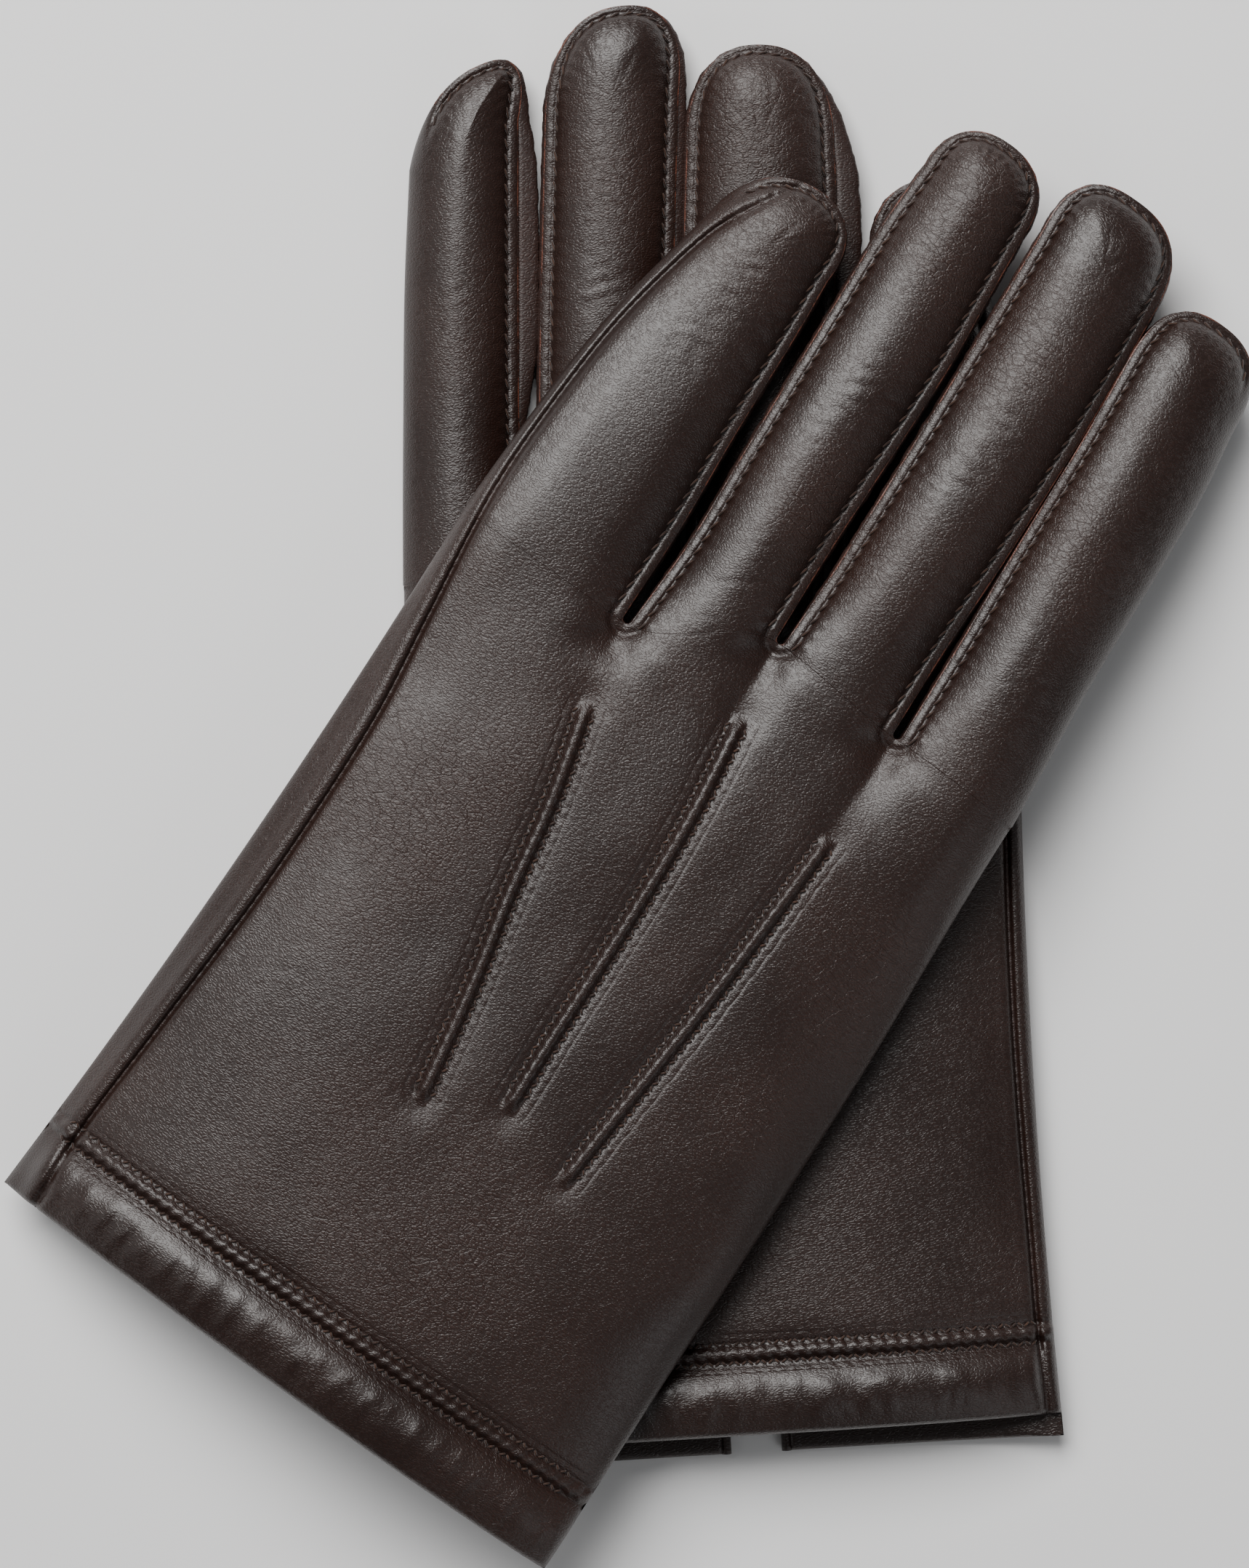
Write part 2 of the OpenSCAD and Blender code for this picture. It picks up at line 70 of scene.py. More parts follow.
def mix(a: Number, b: Number, t: Number) -> Number:
    """Blend from a to b by t."""
    return a + (b - a) * t


def smooth(a: float, b: float, x: Number) -> Number:
    """Rise from 0 at a to 1 at b with level ends.

    Args:
        a: Where the rise starts.
        b: Where it ends.
        x: Number or array to look up.

    Returns:
        The share reached at x.
    """
    t = np.clip((x - a) / (b - a), 0, 1)
    return t * t * (3 - 2 * t)


def hump(x: Number, width: float) -> Number:
    """Round hump of height 1 at 0 that fades over width."""
    return np.exp(-((x / width) ** 2))


def dome(x: Number, power: float = 2.2, fullness: float = 0.55) -> Number:
    """Section of a padded edge: 0 with an upright side at x = 0, level at 1 from x = 1.

    Args:
        x: Distance from the edge, as a share of the padding's reach.
        power: How flat the padding ends.
        fullness: How upright it starts; lower is fuller.

    Returns:
        Height as a share of the full padding.
    """
    return (1 - (1 - np.clip(x, 0, 1)) ** power) ** fullness


def noise(x: Array, y: Array, seed: int) -> Array:
    """Gradient noise on a lattice of unit cells, about -1 to 1, the same on every run.

    Args:
        x: First coordinate, in cells.
        y: Second coordinate, in cells.
        seed: Whole number that picks the pattern.

    Returns:
        Array of noise values.
    """
    xi, yi = np.floor(x).astype(np.int64), np.floor(y).astype(np.int64)
    fx, fy = x - xi, y - yi

    def corner(i: int, j: int) -> Array:
        """Share of one lattice corner's slope at each point.

        Args:
            i: The corner's step along x, 0 or 1.
            j: Its step along y, 0 or 1.

        Returns:
            Array of shares.
        """
        n = ((xi + i) * 374761393 + (yi + j) * 668265263 + seed * 974634777) & 0xFFFFFFFF
        n = ((n ^ (n >> 13)) * 1274126177) & 0xFFFFFFFF
        angle = ((n ^ (n >> 16)) & 0xFFFF) * (2 * math.pi / 65536)
        return np.cos(angle) * (fx - i) + np.sin(angle) * (fy - j)

    sx, sy = fx ** 3 * (fx * (fx * 6 - 15) + 10), fy ** 3 * (fy * (fy * 6 - 15) + 10)
    low = mix(corner(0, 0), corner(1, 0), sx)
    high = mix(corner(0, 1), corner(1, 1), sx)
    return 1.5 * mix(low, high, sy)


def crease(x: Array, y: Array, seed: int, sharpness: float = 7.0) -> Array:
    """Net of thin creases: 1 in a crease, 0 between them."""
    return np.exp(-np.abs(noise(x, y, seed)) * sharpness)


def through(points: Line, step: float = 0.3) -> Array:
    """Smooth curve through a few points, at even steps.

    Args:
        points: The points, in the pattern plane.
        step: Distance between the curve's samples.

    Returns:
        Array of samples, one row each.
    """
    p = np.array(points, float)
    if len(p) < 3:
        curve = p
    else:
        ends = np.vstack([2 * p[0] - p[1], p, 2 * p[-1] - p[-2]])
        t = np.linspace(0, 1, 24, endpoint=False)[:, None]
        spans = []
        for a, b, c, d in zip(ends[:-3], ends[1:-2], ends[2:-1], ends[3:]):
            spans.append(0.5 * (2 * b + (c - a) * t + (2 * a - 5 * b + 4 * c - d) * t ** 2
                                + (3 * b - a - 3 * c + d) * t ** 3))
        curve = np.vstack([*spans, p[-1:]])
    return resample(curve, max(2, round(length_of(curve)[-1] / step) + 1))


def length_of(curve: Array) -> Array:
    """Distance along a curve at each of its samples."""
    return np.concatenate([[0], np.cumsum(np.linalg.norm(np.diff(curve, axis=0), axis=1))])


def at_length(curve: Array, where: Array) -> Array:
    """Points of a curve at the given distances along it."""
    s = length_of(curve)
    return np.stack([np.interp(where, s, curve[:, i]) for i in range(curve.shape[1])], axis=1)


def resample(curve: Array, count: int) -> Array:
    """The same curve with count even samples."""
    return at_length(curve, np.linspace(0, length_of(curve)[-1], count))


# ---------------------------------------------------------------- where each glove lies


@dataclass(frozen=True)
class Lay:
    """Place of one glove: the left one lies over the right one and sags over its edges.

    Attributes:
        side: 1 for the left glove, -1 for the right one, whose pattern is mirrored.
        x: Where the middle of its cuff lies.
        y: Where the middle of its cuff lies.
        lean: Degrees that its fingers lean towards +x.
        upper: Whether it lies on the other glove.
        stack_h: Height of the glove below it.
        finger_sink: How far it comes down towards its fingers.
        sink_y: Where that starts and ends.
        hang_x: Where its two sides start to hang down.
        hang: How fast they do, by the square of the distance.
    """

    side: int
    x: float
    y: float
    lean: float
    upper: bool
    stack_h: float = 14.6
    finger_sink: float = 3.5
    sink_y: tuple[float, float] = (40, 110)
    hang_x: tuple[float, float] = (-38, 68)
    hang: tuple[float, float] = (0.0026, 0.0040)

    def support(self, x: Number, y: Number) -> Number:
        """Height of what lies under the glove.

        Args:
            x: Place on the table.
            y: Place on the table.

        Returns:
            Height over the table there.
        """
        if not self.upper:
            return np.zeros_like(x)
        return (self.stack_h - self.finger_sink * smooth(*self.sink_y, y)
                - self.hang[0] * np.maximum(0, self.hang_x[0] - x) ** 2
                - self.hang[1] * np.maximum(0, x - self.hang_x[1]) ** 2)

    def place(self, u: Number, v: Number, z: Number) -> Array:
        """Lay points of the pattern where the glove lies.

        Args:
            u: Places across the hand.
            v: Places along the hand.
            z: Heights over what it lies on.

        Returns:
            Points in millimetres, in the part's own frame.
        """
        a = math.radians(self.lean)
        s = self.side * u
        x = self.x + v * math.sin(a) + s * math.cos(a)
        y = self.y + v * math.cos(a) - s * math.sin(a)
        return np.stack([x, y, z + self.support(x, y)], axis=-1)


# ---------------------------------------------------------------- pattern of one glove


@dataclass(frozen=True)
class Cut:
    """Outline of one finger: its two edges from the web to where the tip starts, and the tip.

    Attributes:
        name: The finger.
        little: Edge on the little side.
        index: Edge on the index side.
        apex: Furthest point of the tip.
        sewn: Whether the little and the index edge are sewn to a side wall.
        bulge: How far each side wall stands out past its seam.
        square: How square the tip is; 2 is an ellipse.
        fold: Distance from the root where the glove above lets the finger fold.
    """

    name: str
    little: Line
    index: Line
    apex: tuple[float, float]
    sewn: tuple[bool, bool]
    bulge: tuple[float, float] = (0.4, 0.4)
    square: float = 2.4
    fold: float = 0.0


WEBS: Line = ((-24.4, 141.1), (-0.8, 153.3), (24.9, 151.4))
WEB_R = 0.8

LEFT_CUTS = (
    Cut("little", ((-58.5, 141.2), (-58.4, 158), (-57.8, 175.7), (-56.4, 189), (-53.2, 207.2)),
        (WEBS[0], (-25.9, 160), (-27.4, 178.2), (-28.6, 198), (-29.6, 209.5)),
        (-40.6, 221.2), (False, True), square=2.2),
    Cut("ring", (WEBS[0], (-23.4, 160), (-24.7, 179), (-26.3, 205), (-27.5, 223), (-27.5, 236)),
        (WEBS[1], (-2.7, 174), (-3.7, 205.6), (-5.1, 222), (-6.4, 236)),
        (-17.6, 246.6), (True, True), square=2.3),
    Cut("middle", (WEBS[1], (-0.3, 172), (-1.8, 200), (-3.4, 225), (-4.4, 238)),
        (WEBS[2], (23.3, 170), (22.9, 188), (21.5, 216), (19.6, 238)),
        (6, 251.3), (True, True), square=2.6),
    Cut("index", (WEBS[2], (24.6, 172), (23.2, 190), (21.9, 212), (20.4, 229)),
        ((50.2, 150.6), (48.8, 164), (47.2, 180), (45, 212), (42.6, 229)),
        (30.6, 242.4), (True, False), square=2.5))

RIGHT_CUTS = (
    Cut("little", ((-58.5, 141.2), (-59, 160), (-58.4, 180), (-55.8, 203)),
        (WEBS[0], (-29.4, 165), (-33.6, 190), (-36.3, 203)),
        (-46.6, 215.2), (False, True), square=2.2),
    Cut("ring", (WEBS[0], (-27, 165), (-29.3, 190), (-31, 213), (-31.2, 222)),
        (WEBS[1], (-2.6, 175), (-4, 205), (-5.6, 224)),
        (-19.5, 240.4), (True, True), bulge=(4.6, 0.5), square=2.3, fold=73),
    Cut("middle", (WEBS[1], (-0.6, 180), (-2.4, 205), (-4.8, 233)),
        (WEBS[2], (23.2, 172), (22.2, 188), (20.4, 210), (18.5, 232)),
        (4.2, 248.6), (True, True), bulge=(1.6, 0.5), square=2.4, fold=61),
    Cut("index", (WEBS[2], (26.4, 165), (26.3, 178), (24.7, 207), (23.3, 230)),
        ((48.3, 150.6), (47.4, 166), (46.4, 181), (44.9, 202), (42.8, 222.5)),
        (29.6, 239.8), (True, False), bulge=(3.6, 0.4), square=2.4, fold=27))

# The three raised lines on the back: from the fingers' end to the cuff's end
POINT_LINES: tuple[Line, ...] = (
    ((-21.6, 125.6), (-17.2, 109), (-13.9, 91.6), (-10.2, 75.5), (-6.3, 54.4)),
    ((1.4, 138.4), (3.9, 120.6), (5.4, 98.6), (6.2, 76), (6.9, 61.6)),
    ((25.4, 130.2), (24.9, 110), (24.2, 93.1), (22.8, 71.8), (21.8, 56.6)))

# The seam along the little side, from the cuff to the tip of the little finger
LEFT_SIDE_SEAM: Line = ((-50.2, -1), (-51.2, 15), (-50.2, 38), (-49, 68.5), (-49.8, 100.6),
                        (-52.5, 122), (-55, 140), (-56, 152), (-56, 166), (-55.3, 180),
                        (-53.6, 192), (-50.6, 205), (-46, 214.6))
RIGHT_SIDE_SEAM: Line = ((-54.9, -1), (-54, 15), (-53.7, 27), (-53, 64), (-53.7, 101),
                         (-55.2, 125), (-56.4, 145), (-56.6, 165), (-55.8, 182), (-52.8, 200))


@dataclass(frozen=True)
class Near:
    """What lies around each point: the nearest sewn edge, and the nearest folded one.

    Attributes:
        d: Distance from the sewn edge.
        t: Place along it.
        sewn: How much of an edge is sewn there, from 0 to 1.
        lean: How far the padding drops to it.
        fold_d: Distance from the folded edge.
        fold: How much of an edge is folded there, from 0 to 1.
    """

    d: Array
    t: Array
    sewn: Array
    lean: Array
    fold_d: Array
    fold: Array


class Edges:
    """The outlines of a glove as one chain of samples that points can be measured against."""

    def __init__(self) -> None:
        """Start with no samples."""
        self.points: list[Array] = []
        self.facts: list[Array] = []
        self.before: list[int] = []
        self.after: list[int] = []

    def add(self, curve: Array, sewn: Array, lean: Array) -> None:
        """Add one curve.

        Args:
            curve: Its samples.
            sewn: 1 where the edge is sewn, 0 where it is a fold.
            lean: How far the padding drops to the edge, as a share.
        """
        start = sum(len(p) for p in self.points)
        n = len(curve)
        self.points.append(curve)
        self.facts.append(np.stack([length_of(curve), sewn, lean], axis=1))
        self.before += [start + max(0, i - 1) for i in range(n)]
        self.after += [start + min(n - 1, i + 1) for i in range(n)]

    def close(self) -> None:
        """Build the search trees, one of sewn and one of folded edges, once every curve is in."""
        self.p = np.vstack(self.points)
        self.f = np.vstack(self.facts)
        self.prev = np.array(self.before)
        self.next = np.array(self.after)
        self.trees = [self.tree_of(self.f[:, 1] > 0.02), self.tree_of(self.f[:, 1] < 0.98)]

    def tree_of(self, chosen: Array) -> kdtree.KDTree:
        """Build the search tree of some samples.

        Args:
            chosen: True for each sample that it holds.

        Returns:
            The tree.
        """
        numbers = np.flatnonzero(chosen)
        tree = kdtree.KDTree(len(numbers))
        for i in numbers:
            tree.insert((*self.p[i], 0), i)
        tree.balance()
        return tree

    def measure(self, tree: kdtree.KDTree, q: Array) -> tuple[Array, Array]:
        """Measure points against the edges of one tree.

        Args:
            tree: The tree of those edges' samples.
            q: The points, one row each.

        Returns:
            Distance of each point, and the facts of the edge there.
        """
        i = np.array([tree.find((a, b, 0))[1] for a, b in q])
        best = np.full(len(q), 1e9)
        facts = np.zeros((len(q), 3))
        for j in (self.prev[i], self.next[i]):
            way = self.p[j] - self.p[i]
            span = np.maximum((way ** 2).sum(1), 1e-12)
            s = np.clip(((q - self.p[i]) * way).sum(1) / span, 0, 1)
            d = np.linalg.norm(q - self.p[i] - way * s[:, None], axis=1)
            closer = d < best
            best = np.where(closer, d, best)
            here = self.f[i] + (self.f[j] - self.f[i]) * s[:, None]
            facts = np.where(closer[:, None], here, facts)
        return best, facts

    def near(self, u: Array, v: Array) -> Near:
        """Measure points against the outlines.

        Args:
            u: Places across the hand.
            v: Places along the hand.

        Returns:
            What lies around each point.
        """
        q = np.stack([u.ravel(), v.ravel()], axis=1)
        d, facts = self.measure(self.trees[0], q)
        fold_d, fold_facts = self.measure(self.trees[1], q)
        found = (d, facts[:, 0], facts[:, 1], facts[:, 2], fold_d, 1 - fold_facts[:, 1])
        return Near(*(values.reshape(u.shape) for values in found))


@dataclass
class Form:
    """Shape of one glove in its pattern plane, before it is cut into pieces. Sizes are in millimetres.

    Attributes:
        name: left or right.
        lay: Where it lies.
        cuts: Its fingers.
        side_seam_points: Course of the seam on the little side.
        palm_reach: How far the palm reaches past the back at the cuff.
        seed: Picks its wrinkles.
        waist: How far the index side draws in towards the fingers.
        hand_h: Height of the hand at its middle.
        finger_h: Height of the fingers.
        crown_h: How much of that height is the round of a finger's back.
        edge_h: Height where back and palm meet, at the hand.
        finger_mid: The same at the fingers.
        hem_d: Distance of the hem's ridge from the cuff's edge.
        thumb_h: Thickness of the tucked thumb.
        vent_u: Place of the palm's slit across the hand.
        vent_w: Width of the slit at the cuff.
        vent_len: Length of the slit.
        leather_t: Thickness of the shell leather.
        rim_w: Distance of the stitches from a finger's edge.
        rim_h: Height of the sewn rim over the middle of the wall.
        padding: How far in from the rim the padding reaches its full height.
        tip_rim: Distance of the stitches from the edge round a fingertip.
        stitch_pitch: Distance from stitch to stitch.
        thumb_root: Middle of the thumb's base.
        thumb_tip: Middle of its tip.
    """

    name: str
    lay: Lay
    cuts: tuple[Cut, ...]
    side_seam_points: Line
    palm_reach: float
    seed: int
    waist: float = 1.8
    hand_h: float = 13.2
    finger_h: float = 11.6
    crown_h: float = 1.7
    edge_h: float = 4.3
    finger_mid: float = 4.75
    hem_d: float = 14.3
    thumb_h: float = 4.4
    vent_u: float = -4.0
    vent_w: float = 9.0
    vent_len: float = 46.0
    leather_t: float = 0.9
    rim_w: float = 1.95
    rim_h: float = 1.55
    padding: float = 9.6
    tip_rim: float = 1.4
    stitch_pitch: float = 2.6
    thumb_root: tuple[float, float] = (36, 60)
    thumb_tip: tuple[float, float] = (4, 126)

    def __post_init__(self) -> None:
        """Draw the outlines and get them ready to measure against."""
        self.edges = Edges()
        self.sides = [(through(cut.little), through(cut.index)) for cut in self.cuts]
        for cut in self.cuts:
            self.edges.add(*self.draw(cut))
        v = np.arange(-6, 150, 0.4)
        fold = np.zeros_like(v)
        self.edges.add(np.stack([self.little_edge(v), v], axis=1), fold, fold + 1)
        self.edges.add(np.stack([self.index_edge(v), v], axis=1), fold, fold + 1)
        self.edges.close()
        self.side_seam = through(self.side_seam_points)
        self.points = [through(line) for line in POINT_LINES]

    def edge_curves(self, cut: Cut) -> tuple[Array, Array]:
        """Draw the little and the index edge of a finger, each with the round end of its web.

        Args:
            cut: The finger.

        Returns:
            The two curves, from the web to where the tip starts.
        """
        curves = []
        for line, web, way in ((cut.little, cut.sewn[0], 1), (cut.index, cut.sewn[1], -1)):
            if not web:
                curves.append(through(line))
                continue
            a = np.radians(np.linspace(0, 90, 7))[:, None]
            centre = np.array(line[0]) + (0, WEB_R)
            arc = centre + WEB_R * np.hstack([way * np.sin(a), -np.cos(a)])
            rest = through((tuple(arc[-1]), *line[1:]))
            curves.append(np.vstack([arc[:-1], rest]))
        return curves[0], curves[1]

    def tip_curve(self, cut: Cut, radius: Array, angle: Array) -> Array:
        """Points of the rounded tip.

        Args:
            cut: The finger.
            radius: Share of the way from the tip's centre to its outline.
            angle: From -90 degrees at the little side to 90 at the index side.

        Returns:
            Points, one row each.
        """
        a, b = (np.array(line[-1]) for line in (cut.little, cut.index))
        centre, across = (a + b) / 2, (b - a) / 2
        up = np.array(cut.apex) - centre
        turn = np.radians(angle)
        x = np.sign(np.sin(turn)) * np.abs(np.sin(turn)) ** (2 / cut.square)
        y = np.maximum(np.cos(turn), 0) ** (2 / cut.square)
        return centre + (radius * x)[:, None] * across + (radius * y)[:, None] * up

    def draw(self, cut: Cut) -> tuple[Array, Array, Array]:
        """Draw the whole outline of a finger, from web to web.

        Args:
            cut: The finger.

        Returns:
            The outline, how much of it is sewn, and how far the padding drops to it.
        """
        little, index = self.edge_curves(cut)
        angle = np.linspace(-90, 90, 120)
        tip = self.tip_curve(cut, np.ones_like(angle), angle)[1:-1]
        outline = np.vstack([little, tip, index[::-1]])
        n0, n1, n2 = len(little), len(tip), len(index)
        turn = np.concatenate([np.full(n0, -90.0), angle[1:-1], np.full(n2, 90.0)])
        sewn = np.ones(len(outline))
        if not cut.sewn[0]:
            sewn *= smooth(-80, -35, turn)
        if not cut.sewn[1]:
            sewn *= 1 - smooth(35, 80, turn)
        from_web = np.concatenate([length_of(little), np.full(n1, 99.0), length_of(index)[::-1]])
        lean = mix(0.4, 1.0, smooth(0, 17, from_web)) + 0.12 * (1 - smooth(35, 92, np.abs(turn)))
        return outline, sewn, lean

    def little_edge(self, v: Number) -> Number:
        """Outline of the hand on the little side."""
        return -(56 + 1.3 * ((v - 60) / 60) ** 2)

    def index_edge(self, v: Number) -> Number:
        """Outline of the hand on the index side."""
        return 57.4 - 0.037 * v - self.waist * smooth(90, 152, v)

    def web_line(self, u: Number) -> Number:
        """Where the hand ends and the fingers start: a smooth line from web to web.

        Args:
            u: Places across the hand.

        Returns:
            The line's place along the hand.
        """
        us = [-62, WEBS[0][0], WEBS[1][0], WEBS[2][0], 62]
        vs = [141.2, WEBS[0][1], WEBS[1][1], WEBS[2][1], 150.2]
        place = np.interp(u, us, range(5))
        whole = np.clip(np.floor(place), 0, 3)
        return mix(np.interp(whole, range(5), vs), np.interp(whole + 1, range(5), vs),
                   smooth(0, 1, place - whole))

    def across(self, u: Number, v: Number) -> Number:
        """Place across the hand, from -1 at the little edge to 1 at the index edge."""
        a, b = self.little_edge(v), self.index_edge(v)
        return np.clip((2 * u - a - b) / (b - a), -1, 1)

    def crown(self, u: Array, v: Array) -> Array:
        """Roundness of the fingers' backs, carried on down into the hand.

        Args:
            u: Places across the hand.
            v: Places along the hand.

        Returns:
            0 along the middle of each finger and 1 at its edges.
        """
        best = np.ones_like(u)
        for little, index in self.sides:
            a, b = (np.interp(v, edge[:, 1], edge[:, 0]) for edge in (little, index))
            best = np.minimum(best, ((2 * u - a - b) / (b - a)) ** 2)
        return best * smooth(122, 156, v)

    def rim(self, near: Near) -> Array:
        """Distance of the stitches from the edge: less round the fingertips."""
        return mix(self.rim_w, self.tip_rim, smooth(1.0, 1.12, near.lean))

    def thumb_reach(self, u: Number, v: Number) -> Number:
        """Measure points against the tucked thumb.

        Args:
            u: Places across the hand.
            v: Places along the hand.

        Returns:
            Distances from the thumb's middle line.
        """
        a, b = np.array(self.thumb_root, float), np.array(self.thumb_tip, float)
        d = b - a
        s = np.clip(((u - a[0]) * d[0] + (v - a[1]) * d[1]) / (d @ d), 0, 1)
        return np.hypot(u - a[0] - d[0] * s, v - a[1] - d[1] * s)

    def lift(self, u: Number, v: Number) -> Number:
        """How much the thumb below lifts the palm, from 0 to 1."""
        return 1 - smooth(13.5, 30, self.thumb_reach(u, v))

    def middle(self, u: Number, v: Number) -> Number:
        """Height of the edge where back and palm meet."""
        return mix(self.edge_h, self.finger_mid, smooth(118, 150, v)) + 2.6 * self.lift(u, v)

    def padding_of(self, u: Array, v: Array, near: Near) -> Array:
        """Fullness of the glove from its edges inwards.

        Args:
            u: Places across the hand.
            v: Places along the hand.
            near: What lies around them.

        Returns:
            Shares of the full height.
        """
        hand = (1 - np.abs(self.across(u, v)) ** 3) ** 0.62
        finger = 1 - near.fold * (1 - dome(near.fold_d / 10.5))
        return mix(hand, finger, smooth(112, 150, v))

    def shoulder(self, near: Near) -> Array:
        """Padding beside a seam: level on the rim, then a full round shoulder."""
        return dome((near.d - self.rim(near)) / self.padding, 2.2, 0.66)

    def wrinkles(self, u: Array, v: Array, near: Near) -> Array:
        """Fine and broad unevenness of worn, stuffed leather.

        Args:
            u: Places across the hand.
            v: Places along the hand.
            near: What lies around them.

        Returns:
            Heights to add.
        """
        s = self.seed
        broad = 0.34 * noise(u / 31, v / 38, s) + 0.17 * noise(u / 13, v / 17, s + 1)
        finger = smooth(140, 165, v)
        tip = smooth(205, 235, v)
        patch = smooth(-0.1, 0.5, noise(u / 17, v / 23, s + 12))
        bent = u / 5 + 0.3 * noise(u / 9, v / 9, s + 2)
        fine = 0.15 * crease(bent, v / 3.4, s + 3) * finger * (0.4 + patch)
        fine = fine + 0.16 * crease(u / 3, v / 2.3, s + 4) * tip
        knuckle = 0.2 * hump(v - 196, 14) * crease(u / 6, v / 2.6, s + 5) * (0.5 + patch)
        fine = fine + 0.07 * crease(u / 4.5, v / 6, s + 13) * (1 - finger) * patch
        still = smooth(0.4, 4, np.minimum(near.d, near.fold_d))
        uneven = 0.6 + 0.4 * noise(u / 7, v / 7, s + 6)
        return (broad * (1 - 0.3 * finger) - (fine + knuckle) * uneven) * still

    def along_line(self, u: Array, v: Array, line: Array) -> tuple[Array, Array, float]:
        """Measure points against a line on the back.

        Args:
            u: Places across the hand.
            v: Places along the hand.
            line: The line.

        Returns:
            Distance from it, positive to the index side, place along it, and its length.
        """
        q = np.stack([u.ravel(), v.ravel()], axis=1)
        s = length_of(line)
        coarse = line[:: max(1, len(line) // 60)]
        near = np.argmin(((q[:, None, :] - coarse[None]) ** 2).sum(2), axis=1)
        way = np.gradient(coarse, axis=0)
        way = way / np.linalg.norm(way, axis=1)[:, None]
        rel = q - coarse[near]
        t = (rel * way[near]).sum(1)
        cross = rel[:, 0] * way[near][:, 1] - rel[:, 1] * way[near][:, 0]
        place = np.interp(near, np.arange(len(coarse)), np.linspace(0, s[-1], len(coarse))) + t
        return cross.reshape(u.shape), place.reshape(u.shape), float(s[-1])

    def sunk_under_ridges(self, u: Array, v: Array) -> Array:
        """Drop of the plain leather under the separately made ridges.

        Args:
            u: Places across the hand.
            v: Places along the hand.

        Returns:
            Depths.
        """
        drop = np.zeros_like(u)
        for line in self.points:
            x, t, full = self.along_line(u, v, line)
            drop = np.maximum(drop, 0.75 * smooth(3.3, 2.5, np.abs(x)) * smooth(-1.2, 0.4, t)
                              * smooth(-1.2, 0.4, full - t))
        return np.maximum(drop, 0.8 * smooth(3.2, 2.4, np.abs(v - self.hem_d)))

    def hem_puff(self, u: Array, v: Array) -> Array:
        """Swell of the folded hem's outer face, from the cuff's edge to the stitches of its ridge."""
        share = np.clip(v / (self.hem_d - 2.3), 0, 1)
        return 1.7 * np.sin(math.pi * share ** 1.2) ** 0.85 * smooth(0, 6, u - self.little_edge(v))

    def back(self, u: Array, v: Array, plain: bool = False) -> Array:
        """Height of the back's outer face.

        Args:
            u: Places across the hand.
            v: Places along the hand.
            plain: Whether the leather dips under the ridges.

        Returns:
            Heights over what the glove lies on.
        """
        near = self.edges.near(u, v)
        m = self.middle(u, v)
        top = mix(self.hand_h, self.finger_h, smooth(108, 150, v))
        drop = (self.finger_h - self.crown_h - self.finger_mid - self.rim_h) * near.lean * near.sewn
        z = m + (top - m) * self.padding_of(u, v, near) - drop * (1 - self.shoulder(near))
        z = z - self.crown_h * self.crown(u, v) * (1 - near.fold * (1 - dome(near.fold_d / 9)))
        z = z + self.wrinkles(u, v, near) + self.sewing(near) + self.side_groove(u, v)
        for line in self.points:
            x, t, full = self.along_line(u, v, line)
            held = smooth(-5, 6, t) * smooth(-5, 6, full - t)
            z = z - 0.45 * hump(x, 3.4) * held
            for end in (t, full - t):
                z = z - 0.45 * hump(np.hypot(x, end + 1.5), 3.2)
        z = z - 0.5 * hump(v - self.hem_d, 3.2) + self.web_pull(u, v)
        if plain:
            z = z - self.sunk_under_ridges(u, v)
        return z

    def web_pull(self, u: Array, v: Array) -> Array:
        """Dimple under each web, with short folds that run out from it.

        Args:
            u: Places across the hand.
            v: Places along the hand.

        Returns:
            Heights to add.
        """
        pull = np.zeros_like(u)
        for k, (web_u, web_v) in enumerate(WEBS):
            du, dv = u - web_u, v - web_v
            r = np.hypot(du, dv + 3.4)
            folds = np.cos(5 * np.arctan2(du, -dv - 1) + k) * smooth(1.2, 4, r) * smooth(15, 5, r)
            pull = pull - 0.55 * hump(r, 3.3) + 0.16 * folds * smooth(3, -3, dv)
            pull = pull - 0.55 * hump(du, 4.5) * smooth(2, -4, dv) * smooth(-26, -5, dv)
        return pull

    def sewing(self, near: Near) -> Array:
        """Groove and puckers that the stitches pull beside a sewn edge.

        Args:
            near: What lies around each point.

        Returns:
            Heights to add.
        """
        turn = 2 * math.pi * near.t / self.stitch_pitch
        groove = -0.36 * hump(near.d - self.rim(near) - 0.1, 0.42)
        pucker = (0.13 * hump(near.d - 2.9, 0.75) + 0.07 * hump(near.d - 1.2, 0.5)) * np.cos(turn)
        edge = -0.22 * hump(near.d, 0.35)
        return near.sewn * (groove + pucker + edge)

    def side_groove(self, u: Array, v: Array) -> Array:
        """Inseam on the little side: a tight groove with a rolled edge at either side.

        Args:
            u: Places across the hand.
            v: Places along the hand.

        Returns:
            Heights to add.
        """
        x, t, _ = self.along_line(u, v, self.side_seam)
        shown = np.where(u < -34, smooth(226, 205, v), 0.0)
        pull = 0.06 * noise(t / 1.7, x / 9, self.seed + 8) * hump(x, 2.4)
        roll = 0.75 * hump(x + 2.1, 1.5) + 0.2 * hump(x - 1.6, 1.3)
        return shown * (roll + pull - 1.25 * hump(x, 0.5))

